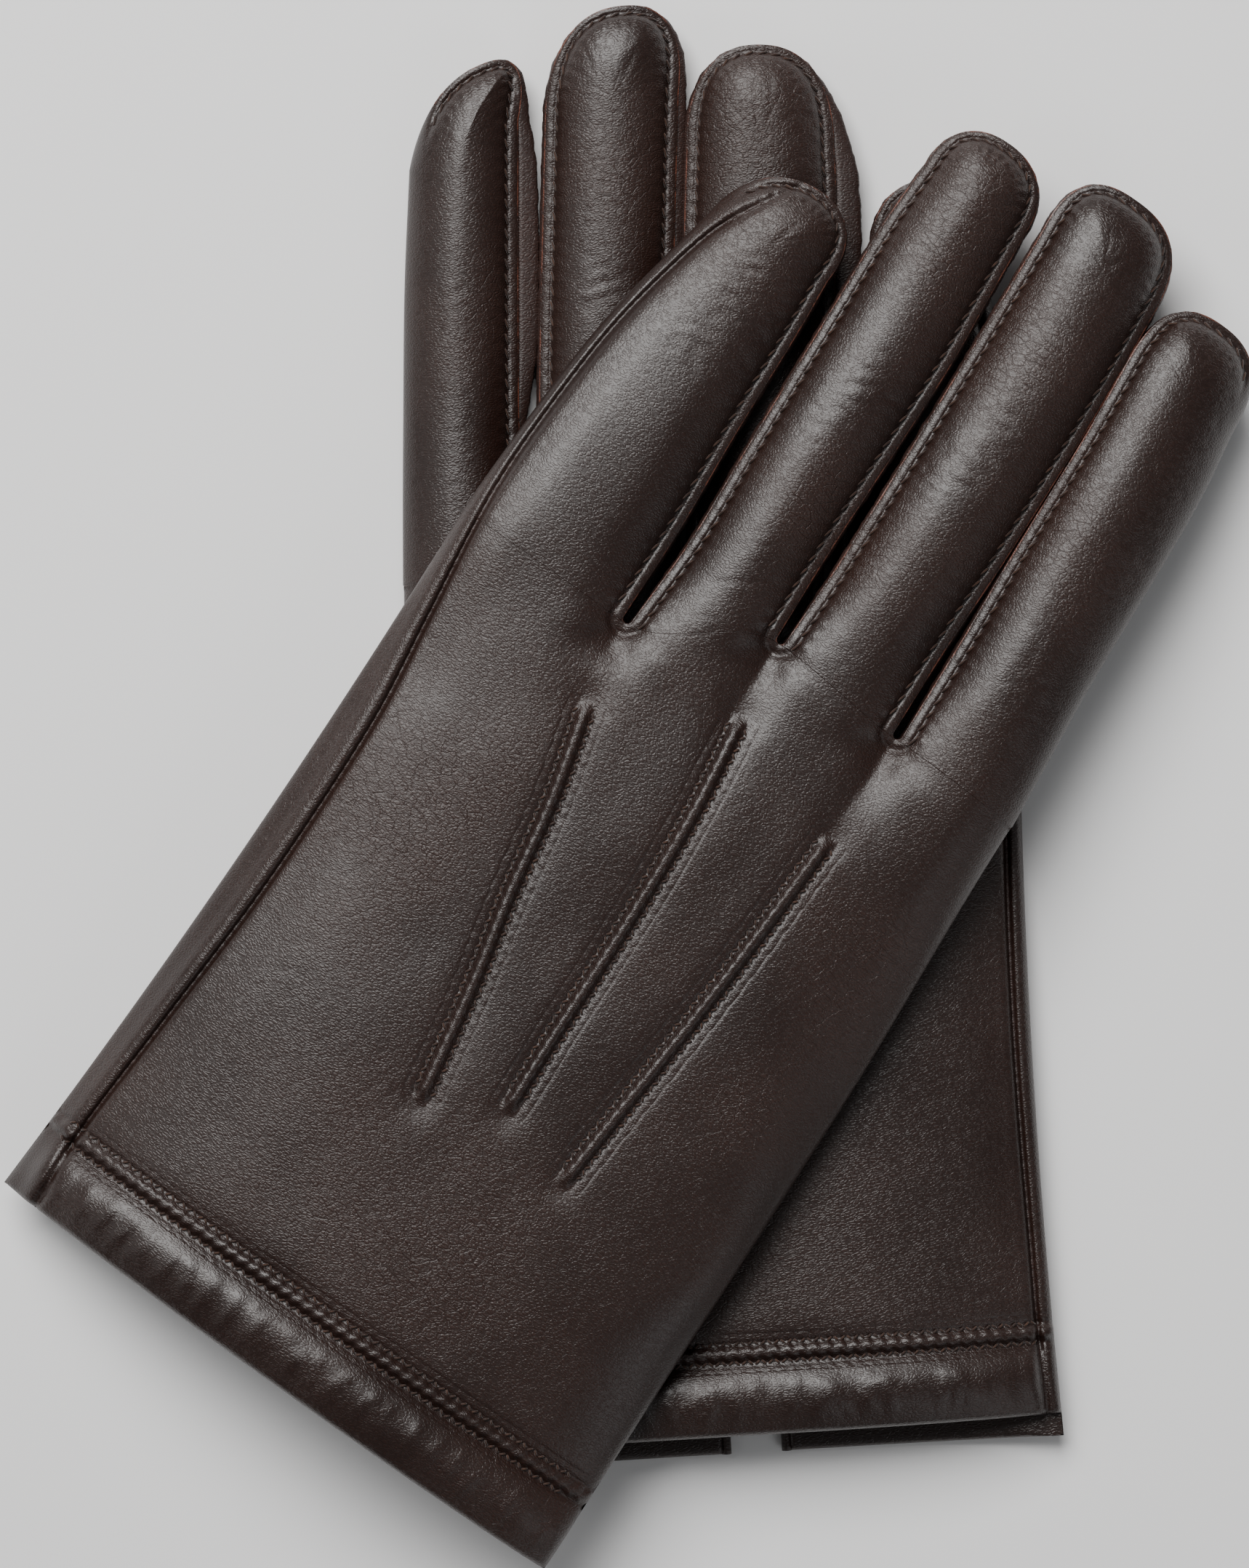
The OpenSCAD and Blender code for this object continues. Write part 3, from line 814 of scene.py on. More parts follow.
    def palm(self, u: Array, v: Array) -> Array:
        """Height of the palm's outer face.

        Args:
            u: Places across the hand.
            v: Places along the hand.

        Returns:
            Heights over what the glove lies on.
        """
        near = self.edges.near(u, v)
        m = self.middle(u, v)
        share = self.padding_of(u, v, near)
        flat = m * (1 - share)
        rise = (self.finger_mid - self.rim_h) * near.lean * near.sewn
        z = flat + rise * (1 - self.shoulder(near)) - self.sewing(near) * 0.6
        lifted = np.maximum(flat, self.thumb_h + 0.3)
        z = mix(z, lifted, self.lift(u, v))
        quiet = 0.35 * self.wrinkles(u, v, near)
        return np.maximum(z + quiet * smooth(0.5, 3, z), 0.0 if not self.lay.upper else -0.2)


# ---------------------------------------------------------------- meshes


@dataclass
class Patch:
    """A surface in the pattern plane.

    Attributes:
        u: Place of each point across the hand.
        v: Its place along the hand.
        z: Its height.
        faces: Lists of point numbers.
        marks: Named numbers on the points.
    """

    u: Array
    v: Array
    z: Array
    faces: list
    marks: dict[str, Array] = field(default_factory=dict)


def quads(rows: int, cols: int, wrap: bool = False) -> list:
    """Join a grid of points with faces.

    Args:
        rows: Points along it.
        cols: Points across it.
        wrap: Whether the last column joins the first.

    Returns:
        Lists of four point numbers.
    """
    i, j = np.meshgrid(np.arange(rows - 1), np.arange(cols if wrap else cols - 1), indexing="ij")
    k = (j + 1) % cols
    four = np.stack([i * cols + j, i * cols + k, (i + 1) * cols + k, (i + 1) * cols + j], axis=-1)
    return four.reshape(-1, 4).tolist()


def make_piece(name: str, xyz: Array, faces: list, finishes: list[bpy.types.Material],
               pattern: Array, marks: dict[str, Array], flip: bool = False) -> bpy.types.Object:
    """Build one mesh object.

    Args:
        name: The piece's name.
        xyz: Points in millimetres.
        faces: Lists of point numbers.
        finishes: Materials for its slots.
        pattern: Coordinates in the pattern, in millimetres, for the finish.
        marks: Named numbers on the points.
        flip: Whether to turn the faces over.

    Returns:
        The new object.
    """
    if flip:
        faces = [face[::-1] for face in faces]
    mesh = bpy.data.meshes.new(name)
    mesh.from_pydata((xyz.reshape(-1, 3) * MM).tolist(), [], faces)
    mesh.polygons.foreach_set("use_smooth", [True] * len(mesh.polygons))
    spot = mesh.attributes.new("pattern", "FLOAT_VECTOR", "POINT")
    spot.data.foreach_set("vector", (pattern.reshape(-1, 3) * MM).astype(np.float32).ravel())
    for mark, values in marks.items():
        layer = mesh.attributes.new(mark, "FLOAT", "POINT")
        layer.data.foreach_set("value", np.asarray(values, np.float32).ravel())
    mesh.validate()
    obj = bpy.data.objects.new(name, mesh)
    bpy.context.scene.collection.objects.link(obj)
    for finish in finishes:
        mesh.materials.append(finish)
    return obj


def thicken(obj: bpy.types.Object, thickness: float) -> None:
    """Give a surface the thickness of its leather or knit, inwards from its outer face.

    Args:
        obj: The surface.
        thickness: Thickness in millimetres.
    """
    shell = obj.modifiers.new("thickness", "SOLIDIFY")
    shell.thickness = thickness * MM
    shell.offset = -1
    shell.use_quality_normals = True


def stitch_solids(a: Array, b: Array, up: Array, radius: float, bow: float) -> tuple[Array, list]:
    """Many short stitches as small closed solids.

    Args:
        a: Where each stitch starts.
        b: Where it ends.
        up: Direction that each one bows to.
        radius: Radius of the thread.
        bow: How far the middle stands over the ends.

    Returns:
        Points and faces of them all.
    """
    share = np.array([0.0, 0.1, 0.35, 0.65, 0.9, 1.0])
    thick = np.array([0.45, 0.85, 1.0, 1.0, 0.85, 0.45])
    sides = 6
    way = b - a
    way = way / np.linalg.norm(way, axis=1)[:, None]
    out = np.cross(way, up)
    out = out / np.linalg.norm(out, axis=1)[:, None]
    top = np.cross(out, way)
    turn = np.arange(sides) * (2 * math.pi / sides)
    centre = a[:, None] + (b - a)[:, None] * share[None, :, None]
    centre = centre + top[:, None] * (bow * np.sin(math.pi * share) - 0.6 * bow)[None, :, None]
    ring = (np.cos(turn)[None, None, :, None] * out[:, None, None]
            + np.sin(turn)[None, None, :, None] * top[:, None, None])
    points = centre[:, :, None] + ring * (radius * thick)[None, :, None, None]
    base = [[r * sides + s, (r + 1) * sides + s, (r + 1) * sides + (s + 1) % sides,
             r * sides + (s + 1) % sides] for r in range(len(share) - 1) for s in range(sides)]
    base += [list(range(sides)), list(range(len(share) * sides - 1, (len(share) - 1) * sides - 1, -1))]
    step = len(share) * sides
    faces = [[k + n * step for k in face] for n in range(len(a)) for face in base]
    return points.reshape(-1, 3), faces


def offsets(reach: float, fine: float = 0.25, coarse: float = 0.9) -> Array:
    """Space out points from an edge inwards: fine beside the seam and wide in the middle.

    Args:
        reach: Distance to the middle.
        fine: Spacing beside the seam.
        coarse: Widest spacing.

    Returns:
        Distances from the edge.
    """
    steps = [0, 0.05, 0.15, 0.3, 0.5]
    while steps[-1] < 3:
        steps.append(steps[-1] + fine)
    while steps[-1] + coarse * 0.75 < reach:
        steps.append(steps[-1] + min(coarse, 0.3 + 0.16 * (steps[-1] - 2.4)))
    return np.array([s for s in steps if s < reach - 0.35] + [reach])


# ---------------------------------------------------------------- finishes


class Coat(Enum):
    """The finishes that a piece can be dressed in."""

    LEATHER = "leather"
    GUSSET = "gusset_leather"
    LINING = "lining"
    THREAD = "thread"

    @property
    def stuff(self) -> str:
        """Plain word for the end of a piece's name."""
        return {"leather": "leather", "gusset_leather": "thin_leather", "lining": "knit"}[self.value]


def new_group(name: str, inputs: list[tuple[str, str, object]],
              outputs: list[tuple[str, str]]) -> bpy.types.NodeTree:
    """Start a shader node group.

    Args:
        name: The group's name.
        inputs: Name, socket type and default of each input.
        outputs: Name and socket type of each output.

    Returns:
        The node tree, with its input and output nodes named "in" and "out".
    """
    tree = bpy.data.node_groups.new(name, "ShaderNodeTree")
    for label, kind, value in inputs:
        socket = tree.interface.new_socket(label, in_out="INPUT", socket_type=kind)
        if value is not None:
            socket.default_value = value
    for label, kind in outputs:
        tree.interface.new_socket(label, in_out="OUTPUT", socket_type=kind)
    tree.nodes.new("NodeGroupInput").name = "in"
    tree.nodes.new("NodeGroupOutput").name = "out"
    return tree


@dataclass
class Wiring:
    """Short hand for adding and joining nodes in one tree."""

    tree: bpy.types.NodeTree

    def add(self, kind: str, **settings: object) -> bpy.types.Node:
        """Add a node and set its properties.

        Args:
            kind: Its type.
            settings: Its properties.

        Returns:
            The node.
        """
        node = self.tree.nodes.new(kind)
        for key, value in settings.items():
            setattr(node, key, value)
        return node

    def join(self, source: Socket, target: Socket) -> None:
        """Link an output socket to an input socket."""
        self.tree.links.new(source, target)

    def feed(self, node: bpy.types.Node, **inputs: object) -> None:
        """Set a node's inputs to values or other sockets.

        Args:
            node: The node.
            inputs: What goes in, by number as i0 and i1, or by name.
        """
        for key, value in inputs.items():
            numbered = key[0] == "i" and key[1:].isdigit()
            socket = node.inputs[int(key[1:]) if numbered else key]
            if isinstance(value, Socket):
                self.join(value, socket)
            else:
                socket.default_value = value

    def math(self, how: str, a: Value, b: Value = 0.0, c: Value = 0.0) -> Socket:
        """Add a math node.

        Args:
            how: Its operation.
            a: First value.
            b: Second value.
            c: Third value, where the operation takes one.

        Returns:
            Its result.
        """
        node = self.add("ShaderNodeMath", operation=how)
        self.feed(node, i0=a, i1=b, i2=c)
        return node.outputs[0]

    def remap(self, value: Value, low: float, high: float, to_low: float = 0.0,
              to_high: float = 1.0) -> Socket:
        """Map a range smoothly onto another.

        Args:
            value: What is mapped.
            low: Start of its range.
            high: End of its range.
            to_low: Start of the new range.
            to_high: End of the new range.

        Returns:
            The mapped value.
        """
        node = self.add("ShaderNodeMapRange", interpolation_type="SMOOTHSTEP")
        self.feed(node, i0=value, i1=low, i2=high, i3=to_low, i4=to_high)
        return node.outputs[0]

    def blend(self, share: Value, a: Socket | Colour, b: Socket | Colour) -> Socket:
        """Mix two colours.

        Args:
            share: How much of the second one.
            a: First colour.
            b: Second colour.

        Returns:
            The mixed colour.
        """
        node = self.add("ShaderNodeMix", data_type="RGBA")
        self.feed(node, i0=share, i6=a, i7=b)
        return node.outputs[2]

    def voronoi_edge(self, vector: Socket) -> Socket:
        """Add a net of cells.

        Args:
            vector: Where it is read.

        Returns:
            Distance to the walls of the cells.
        """
        node = self.add("ShaderNodeTexVoronoi", feature="DISTANCE_TO_EDGE")
        self.feed(node, Vector=vector, Scale=1.0)
        return node.outputs["Distance"]

    def cloud(self, vector: Socket, scale: Value, detail: float = 2.0) -> bpy.types.NodeOutputs:
        """Add soft noise.

        Args:
            vector: Where it is read.
            scale: Its fineness.
            detail: Its octaves.

        Returns:
            Its value from 0 to 1, and its colour.
        """
        node = self.add("ShaderNodeTexNoise")
        self.feed(node, Vector=vector, Scale=scale, Detail=detail)
        return node.outputs

    def stretch(self, vector: Socket, factors: tuple[float, float, float]) -> Socket:
        """Scale a vector along its axes.

        Args:
            vector: The vector.
            factors: A factor for each axis.

        Returns:
            The scaled vector.
        """
        node = self.add("ShaderNodeVectorMath", operation="MULTIPLY")
        self.feed(node, i0=vector, i1=factors)
        return node.outputs[0]

    def shift(self, vector: Socket, by: Socket, amount: float) -> Socket:
        """Move a vector by a share of another one.

        Args:
            vector: The vector.
            by: The other one.
            amount: The share.

        Returns:
            The moved vector.
        """
        node = self.add("ShaderNodeVectorMath", operation="MULTIPLY_ADD")
        self.feed(node, i0=by, i1=(amount, amount, amount), i2=vector)
        return node.outputs[0]


def grain_group() -> bpy.types.NodeTree:
    """Build pebbled leather grain with pores, folds of wear and a slow change of tone.

    Returns:
        The node group.
    """
    tree = new_group("leather_grain",
                     [("Pattern", "NodeSocketVector", None), ("Cells", "NodeSocketFloat", 1900.0),
                      ("Creases", "NodeSocketFloat", 0.5)],
                     [("Height", "NodeSocketFloat"), ("Pores", "NodeSocketFloat"),
                      ("Tone", "NodeSocketFloat")])
    w = Wiring(tree)
    into, out = tree.nodes["in"], tree.nodes["out"]
    scale = w.add("ShaderNodeVectorMath", operation="SCALE")
    w.feed(scale, i0=into.outputs["Pattern"], Scale=into.outputs["Cells"])
    scaled = scale.outputs[0]
    bent = w.shift(w.stretch(scaled, (0.68, 1.25, 1.0)), w.cloud(scaled, 0.35)[1], 1.6)
    pebble = w.remap(w.voronoi_edge(bent), 0.0, 0.3)
    region = w.cloud(scaled, 0.016)[0]
    line = w.shift(w.stretch(scaled, (0.17, 0.33, 0.2)), w.cloud(scaled, 0.12)[1], 1.3)
    fold = w.remap(w.voronoi_edge(line), 0.0, 0.055)
    worn = w.math("MULTIPLY", w.remap(region, 0.45, 0.7), into.outputs["Creases"])
    folds = w.math("MULTIPLY", w.math("SUBTRACT", fold, 1.0), worn)
    dust = w.math("MULTIPLY", w.cloud(scaled, 2.6)[0], 0.25)
    depth = w.remap(region, 0.3, 0.7, 0.62, 1.0)
    height = w.math("MULTIPLY_ADD", pebble, depth, dust)
    w.join(w.math("MULTIPLY_ADD", folds, 1.6, height), out.inputs["Height"])
    w.join(w.math("SUBTRACT", 1.0, pebble), out.inputs["Pores"])
    w.join(region, out.inputs["Tone"])
    return tree


def loops_group() -> bpy.types.NodeTree:
    """Build rows of small loops, as in knit or twisted thread.

    Returns:
        The node group.
    """
    tree = new_group("loop_rows",
                     [("Pattern", "NodeSocketVector", None), ("Cells", "NodeSocketFloat", 900.0)],
                     [("Height", "NodeSocketFloat"), ("Pores", "NodeSocketFloat"),
                      ("Tone", "NodeSocketFloat")])
    w = Wiring(tree)
    into, out = tree.nodes["in"], tree.nodes["out"]
    pattern, cells = into.outputs["Pattern"], into.outputs["Cells"]
    waves = []
    for way, width, wander, detail in (("X", 20.0, 1.2, 2.0), ("Y", 26.0, 2.0, 1.0)):
        wave = w.add("ShaderNodeTexWave", wave_type="BANDS", bands_direction=way, wave_profile="SIN")
        w.feed(wave, Vector=pattern, Scale=w.math("DIVIDE", cells, width), Distortion=wander, Detail=detail)
        waves.append(wave.outputs["Fac"])
    loops = w.math("MULTIPLY", *waves)
    w.join(loops, out.inputs["Height"])
    w.join(w.math("SUBTRACT", 1.0, loops), out.inputs["Pores"])
    w.join(w.cloud(pattern, w.math("DIVIDE", cells, 12.0))[0], out.inputs["Tone"])
    return tree


def edge_group() -> bpy.types.NodeTree:
    """Build the mask of a cut edge: a mark on the points, broken up a little.

    Returns:
        The node group.
    """
    tree = new_group("cut_edge",
                     [("Pattern", "NodeSocketVector", None), ("Mark", "NodeSocketFloat", 0.0)],
                     [("Mask", "NodeSocketFloat")])
    w = Wiring(tree)
    into, out = tree.nodes["in"], tree.nodes["out"]
    fray = w.math("MULTIPLY", w.math("SUBTRACT", w.cloud(into.outputs["Pattern"], 900.0)[0], 0.5), 0.9)
    w.join(w.remap(w.math("ADD", into.outputs["Mark"], fray), 0.35, 0.8), out.inputs["Mask"])
    return tree


@dataclass(frozen=True)
class Effects:
    """Node groups that the materials share.

    Attributes:
        grain: Pebbled leather.
        loops: Rows of loops.
        edge: Mask of the cut edges.
    """

    grain: bpy.types.NodeTree
    loops: bpy.types.NodeTree
    edge: bpy.types.NodeTree


@dataclass(frozen=True)
class Finish:
    """One material.

    Attributes:
        coat: Which finish it is.
        base: Main colour, linear.
        warm: Colour that it drifts to.
        raw: Colour of its cut edges.
        roughness: Lowest and highest roughness.
        relief: Depth of the grain in millimetres.
        cells: Cells of grain in a metre.
        creases: Strength of the wear creases.
    """

    coat: Coat
    base: Colour
    warm: Colour
    raw: Colour
    roughness: tuple[float, float]
    relief: float
    cells: float
    creases: float = 0.5

    def build(self, effects: Effects) -> bpy.types.Material:
        """Make the material.

        Args:
            effects: The shared node groups.

        Returns:
            The material.
        """
        material = bpy.data.materials.new(self.coat.value + "_finish")
        material.use_nodes = True
        material.node_tree.nodes.clear()
        w = Wiring(material.node_tree)
        shader = w.add("ShaderNodeBsdfPrincipled")
        w.join(shader.outputs[0], w.add("ShaderNodeOutputMaterial").inputs[0])
        pattern = w.add("ShaderNodeAttribute", attribute_name="pattern").outputs["Vector"]
        height, pores, tone = self.texture(w, effects, pattern)
        colour = w.blend(w.remap(tone, 0.35, 0.7), self.base, self.warm)
        colour = w.blend(w.math("MULTIPLY", pores, 0.35), colour, PORE)
        mark = w.add("ShaderNodeAttribute", attribute_name="raw").outputs["Fac"]
        cut = w.add("ShaderNodeGroup", node_tree=effects.edge)
        w.feed(cut, Pattern=pattern, Mark=mark)
        w.join(w.blend(cut.outputs["Mask"], colour, self.raw), shader.inputs["Base Color"])
        w.join(w.remap(tone, 0.3, 0.7, *self.roughness), shader.inputs["Roughness"])
        bump = w.add("ShaderNodeBump")
        w.feed(bump, Strength=1.0, Distance=self.relief * MM, Height=height)
        w.join(bump.outputs[0], shader.inputs["Normal"])
        self.shine(shader)
        return material

    def texture(self, w: Wiring, effects: Effects, pattern: Socket) -> tuple[Socket, Socket, Socket]:
        """Add the leather's grain.

        Args:
            w: The material's wiring.
            effects: The shared node groups.
            pattern: Place in the pattern.

        Returns:
            Its height, pores and tone.
        """
        node = w.add("ShaderNodeGroup", node_tree=effects.grain)
        w.feed(node, Pattern=pattern, Cells=self.cells, Creases=self.creases)
        return node.outputs["Height"], node.outputs["Pores"], node.outputs["Tone"]

    def shine(self, shader: bpy.types.Node) -> None:
        """Set the plain values of the shader.

        Args:
            shader: The shader.
        """
        shader.inputs["Specular IOR Level"].default_value = 0.55
        shader.inputs["Coat Weight"].default_value = 0.12
        shader.inputs["Coat Roughness"].default_value = 0.28


@dataclass(frozen=True)
class Cloth(Finish):
    """Knit or thread: rows of small loops in place of grain."""

    def texture(self, w: Wiring, effects: Effects, pattern: Socket) -> tuple[Socket, Socket, Socket]:
        """Add the rows of loops.

        Args:
            w: The material's wiring.
            effects: The shared node groups.
            pattern: Place in the pattern.

        Returns:
            Their height, gaps and tone.
        """
        node = w.add("ShaderNodeGroup", node_tree=effects.loops)
        w.feed(node, Pattern=pattern, Cells=self.cells)
        return node.outputs["Height"], node.outputs["Pores"], node.outputs["Tone"]

    def shine(self, shader: bpy.types.Node) -> None:
        """Set the plain values of the shader."""
        shader.inputs["Specular IOR Level"].default_value = 0.25
        shader.inputs["Sheen Weight"].default_value = 0.25


RAW: Colour = (0.115, 0.036, 0.021, 1)
PORE: Colour = (0.004, 0.0025, 0.002, 1)
FINISHES = (
    Finish(Coat.LEATHER, base=(0.0160, 0.0058, 0.0038, 1), warm=(0.025, 0.0092, 0.0058, 1), raw=RAW,
           roughness=(0.36, 0.45), relief=0.045, cells=1750.0, creases=0.7),
    Finish(Coat.GUSSET, base=(0.018, 0.0062, 0.0040, 1), warm=(0.030, 0.0098, 0.0062, 1), raw=RAW,
           roughness=(0.45, 0.55), relief=0.05, cells=1700.0),
    Cloth(Coat.LINING, base=(0.075, 0.052, 0.042, 1), warm=(0.095, 0.067, 0.053, 1), raw=RAW,
          roughness=(0.8, 0.9), relief=0.12, cells=900.0),
    Cloth(Coat.THREAD, base=(0.030, 0.012, 0.007, 1), warm=(0.055, 0.022, 0.011, 1), raw=RAW,
          roughness=(0.5, 0.62), relief=0.03, cells=4200.0))


# ---------------------------------------------------------------- one glove, piece by piece


class Face(Enum):
    """The two sides of a glove."""

    BACK = 1
    PALM = -1


FOURCHETTES = {"little": "little_fourchette", "ring": "ring_fourchettes",
               "middle": "middle_fourchettes", "index": "index_fourchette"}


@dataclass
class Glove:
    """One glove: draws its pieces from its form, and dresses and hangs them. Sizes are in millimetres.

    Attributes:
        form: Its shape.
        coats: The materials.
        row_step: Spacing of the rows of points.
        strip_half_w: Half the width of the strip that holds a ridge.
        strip_end: How far that strip runs on past its ridge.
        ridge_h: Height of a ridge.
        ridge_stitch: Distance from stitch to stitch beside a ridge.
        ridge_t: Thickness of the strip.
        scallop: Swelling of a point between stitches, as a share of its height.
        hem_scallop: The same on the hem's ridge.
        hem_round: Radius of a hem's fold.
        thread_r: Radius of the thread.
        stitch_half: Half the length of a stitch round a finger.
        wall_t: Thickness of the fingers' walls.
        thumb_t: Thickness of the thumb's leather.
        knit_t: Thickness of the lining.
        knit_in: How far the lining lies under the leather's face.
        knit_edge: How far it stays back from the hand's edges.
        knit_share: Width and length of a finger's lining, as shares of the finger's.
    """

    form: Form
    coats: dict[Coat, bpy.types.Material]
    row_step: float = 0.58
    strip_half_w: float = 3.9
    strip_end: float = 3.6
    ridge_h: float = 0.95
    ridge_stitch: float = 2.3
    ridge_t: float = 0.5
    scallop: float = 0.03
    hem_scallop: float = 0.06
    hem_round: float = 1.05
    thread_r: float = 0.21
    stitch_half: float = 0.9
    wall_t: float = 0.7
    thumb_t: float = 0.6
    knit_t: float = 0.5
    knit_in: float = 1.35
    knit_edge: float = 1.7
    knit_share: tuple[float, float] = (0.87, 0.96)

    @property
    def name(self) -> str:
        """left or right."""
        return self.form.name

    @property
    def hand(self) -> str:
        """Body that the hand belongs to."""
        return f"{self.name}_glove"

    @property
    def flipped(self) -> bool:
        """Whether the pattern plane is mirrored where the glove lies."""
        return self.form.lay.side < 0

    # ---- dressing and hanging

    def piece(self, label: str, patch: Patch, coat: Coat, nodes: tuple[str, ...], face: Face = Face.BACK,
              weld: bool = False) -> bpy.types.Object:
        """Make a piece of this glove from a patch and let it stand for its nodes.

        Args:
            label: Name of the piece without the glove's.
            patch: The surface.
            coat: Its finish.
            nodes: Nodes it replaces, without the glove's name.
            face: Which way it looks.
            weld: Whether to join points that lie together.

        Returns:
            The new object.
        """
        xyz = self.form.lay.place(patch.u, patch.v, patch.z)
        pattern = np.stack([patch.u, patch.v, patch.z], axis=-1)
        marks = {"raw": patch.marks.get("raw", np.zeros_like(patch.u))}
        obj = make_piece(f"{self.name}_{label}_{coat.stuff}", xyz, patch.faces, [self.coats[coat]],
                         pattern, marks, flip=self.flipped != (face is Face.PALM))
        if weld:
            self.weld(obj)
        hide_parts(*(f"{self.name}_{node}" for node in nodes))
        LOG.info("%s: %d points", obj.name, len(obj.data.vertices))
        return obj

    @staticmethod
    def weld(obj: bpy.types.Object) -> None:
        """Join points that lie together.

        Args:
            obj: The piece.
        """
        work = bmesh.new()
        work.from_mesh(obj.data)
        bmesh.ops.remove_doubles(work, verts=work.verts, dist=2e-6)
        work.to_mesh(obj.data)
        work.free()

    def hang(self, obj: bpy.types.Object, cut: Cut | None = None) -> None:
        """Let a piece move with the hand, or, for a finger's piece, only bake its place into its points.

        Args:
            obj: The piece.
            cut: The finger it belongs to, if any.
        """
        if cut is None or (self.name == "right" and cut.fold == 0):
            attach(obj, self.hand)
            return
        root, tip, start = self.axis_of(cut)
        way = (tip - root) / np.linalg.norm(tip - root)
        begin, span = (start, 27.0) if cut.fold == 0 else (cut.fold - 1.0, 22.0)
        body = f"{self.name}_{cut.name}_finger" + ("_end" if cut.fold else "")
        a, b = (self.form.lay.place(*(root + way * s), np.float64(0)) * MM for s in (begin, begin + span))
        b[2] = a[2]
        self.hand
        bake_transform(obj)

    def axis_of(self, cut: Cut) -> tuple[Array, Array, float]:
        """Find the line that a finger bends along.

        Args:
            cut: The finger.

        Returns:
            Middle of its root, its tip, and how far past the root its last web reaches.
        """
        a, b = np.array(cut.little[0]), np.array(cut.index[0])
        root, tip = (a + b) / 2, np.array(cut.apex)
        way = (tip - root) / np.linalg.norm(tip - root)
        return root, tip, float(max((a - root) @ way, (b - root) @ way)) + 1.5

    # ---- grids

    def finger_grid(self, cut: Cut, curves: tuple[Array, Array], fine: float = 0.25,
                    row: float | None = None) -> tuple[Array, Array, list]:
        """Points over a finger, row by row to its tip and then as a fan round the tip.

        Args:
            cut: The finger.
            curves: Its little and its index edge.
            fine: Spacing beside the seams.
            row: Spacing along the finger.

        Returns:
            u, v and faces.
        """
        little, index = curves
        row = row or self.row_step
        ends = length_of(little)[-1], length_of(index)[-1]
        full = sum(ends) / 2
        steps = [0, 0.12, 0.25, 0.4, 0.6, 0.8, 1.05, 1.3, 1.6, 1.9, 2.25, 2.6, 3.0]
        steps = np.array(steps + list(np.arange(3.5, full - row * 0.6, row)) + [full]) / full
        a, b = at_length(little, steps * ends[0]), at_length(index, steps * ends[1])
        inner = 1 - offsets(11.0, fine) / 11.0
        across = np.concatenate([-inner, inner[::-1][1:]])
        cols, half = len(across), len(inner)
        body = (a + b)[:, None] / 2 + across[None, :, None] * (b - a)[:, None] / 2
        s = (steps * full)[:, None]
        rise = mix((a - a[0])[:, 1:], (b - b[0])[:, 1:], (across[None] + 1) / 2)
        late = np.maximum(s - rise, 0) * smooth(0, 0.06, 1 - np.abs(across))[None] * (1 - smooth(3, 20, s))
        bend = (self.form.web_line(body[0, :, 0]) - body[0, :, 1])[None] * (1 - smooth(0, 8, s))
        body[..., 1] += late + bend
        angles = np.linspace(-90, 90, 78)[1:-1]
        rings = [self.form.tip_curve(cut, np.full_like(angles, r), angles) for r in inner[:-1]]
        fan = np.stack(rings, axis=1)
        points = np.vstack([body.reshape(-1, 2), fan.reshape(-1, 2)])
        faces = quads(len(steps), cols)
        last, base = (len(steps) - 1) * cols, len(steps) * cols
        spokes = [[last + r for r in range(half - 1)]]
        spokes += [[base + i * (half - 1) + r for r in range(half - 1)] for i in range(len(angles))]
        spokes += [[last + cols - 1 - r for r in range(half - 1)]]
        centre = last + half - 1
        for left, right in zip(spokes[:-1], spokes[1:]):
            faces += [[left[r + 1], right[r + 1], right[r], left[r]] for r in range(half - 2)]
            faces.append([centre, right[-1], left[-1]])
        return points[:, 0], points[:, 1], faces

    def side_columns(self) -> tuple[Array, Array]:
        """Space out the columns of the back.

        Returns:
            Shares across the band outside the side seam, and across the rest.
        """
        band = (1 - np.cos(np.linspace(0, math.pi, 21))) / 2
        start = [0, 0.12, 0.25, 0.4, 0.55, 0.7, 0.9, 1.1, 1.35, 1.6, 1.9, 2.2, 2.6, 3.0]
        end = [2.3, 1.6, 1.0, 0.6, 0.3, 0.12, 0.03, 0]
        main = np.array(start + list(np.arange(3.55, 101, self.row_step)) + [104 - e for e in end]) / 104
        return band, main

    def hand_rows(self, v0: float, top: Array) -> Array:
        """Space out the rows of the back, dense towards the fingers.

        Args:
            v0: Where they start.
            top: Where each column ends.

        Returns:
            Places along the hand, row by column.
        """
        full = 130.0
        close = np.array([2.6, 2.1, 1.65, 1.25, 0.9, 0.6, 0.38, 0.2, 0.08, 0])
        share = np.concatenate([np.arange(0, full - 3, self.row_step), full - close]) / full
        return v0 + (top - v0)[None] * share[:, None]

    def seam_u(self, v: Array) -> Array:
        """Place of the side seam at v."""
        line = self.form.side_seam
        return np.interp(v, line[:, 1], line[:, 0])

    def back_panel(self) -> None:
        """The back of the hand, from the hem's ridge to the webs."""
        form = self.form
        band, main = self.side_columns()

        def spread(v: Array) -> Array:
            """Place the columns.

            Args:
                v: Place of each column along the hand.

            Returns:
                Places across the hand.
            """
            a, g, b = form.little_edge(v), self.seam_u(v), form.index_edge(v)
            n = len(band)
            return np.concatenate([mix(a[:n], g[:n], band), mix(g[n:], b[n:], main[1:])])

        top = np.full(len(band) + len(main) - 1, 147.0)
        for _ in range(4):
            top = form.web_line(spread(top))
        v = self.hand_rows(form.hem_d - 0.9, top)
        u = np.stack([spread(row) for row in v])
        z = form.back(u, v, plain=True)
        obj = self.piece("back_panel", Patch(u, v, z, quads(*u.shape)), Coat.LEATHER,
                         ("back_panel",))
        thicken(obj, form.leather_t)
        self.hang(obj)

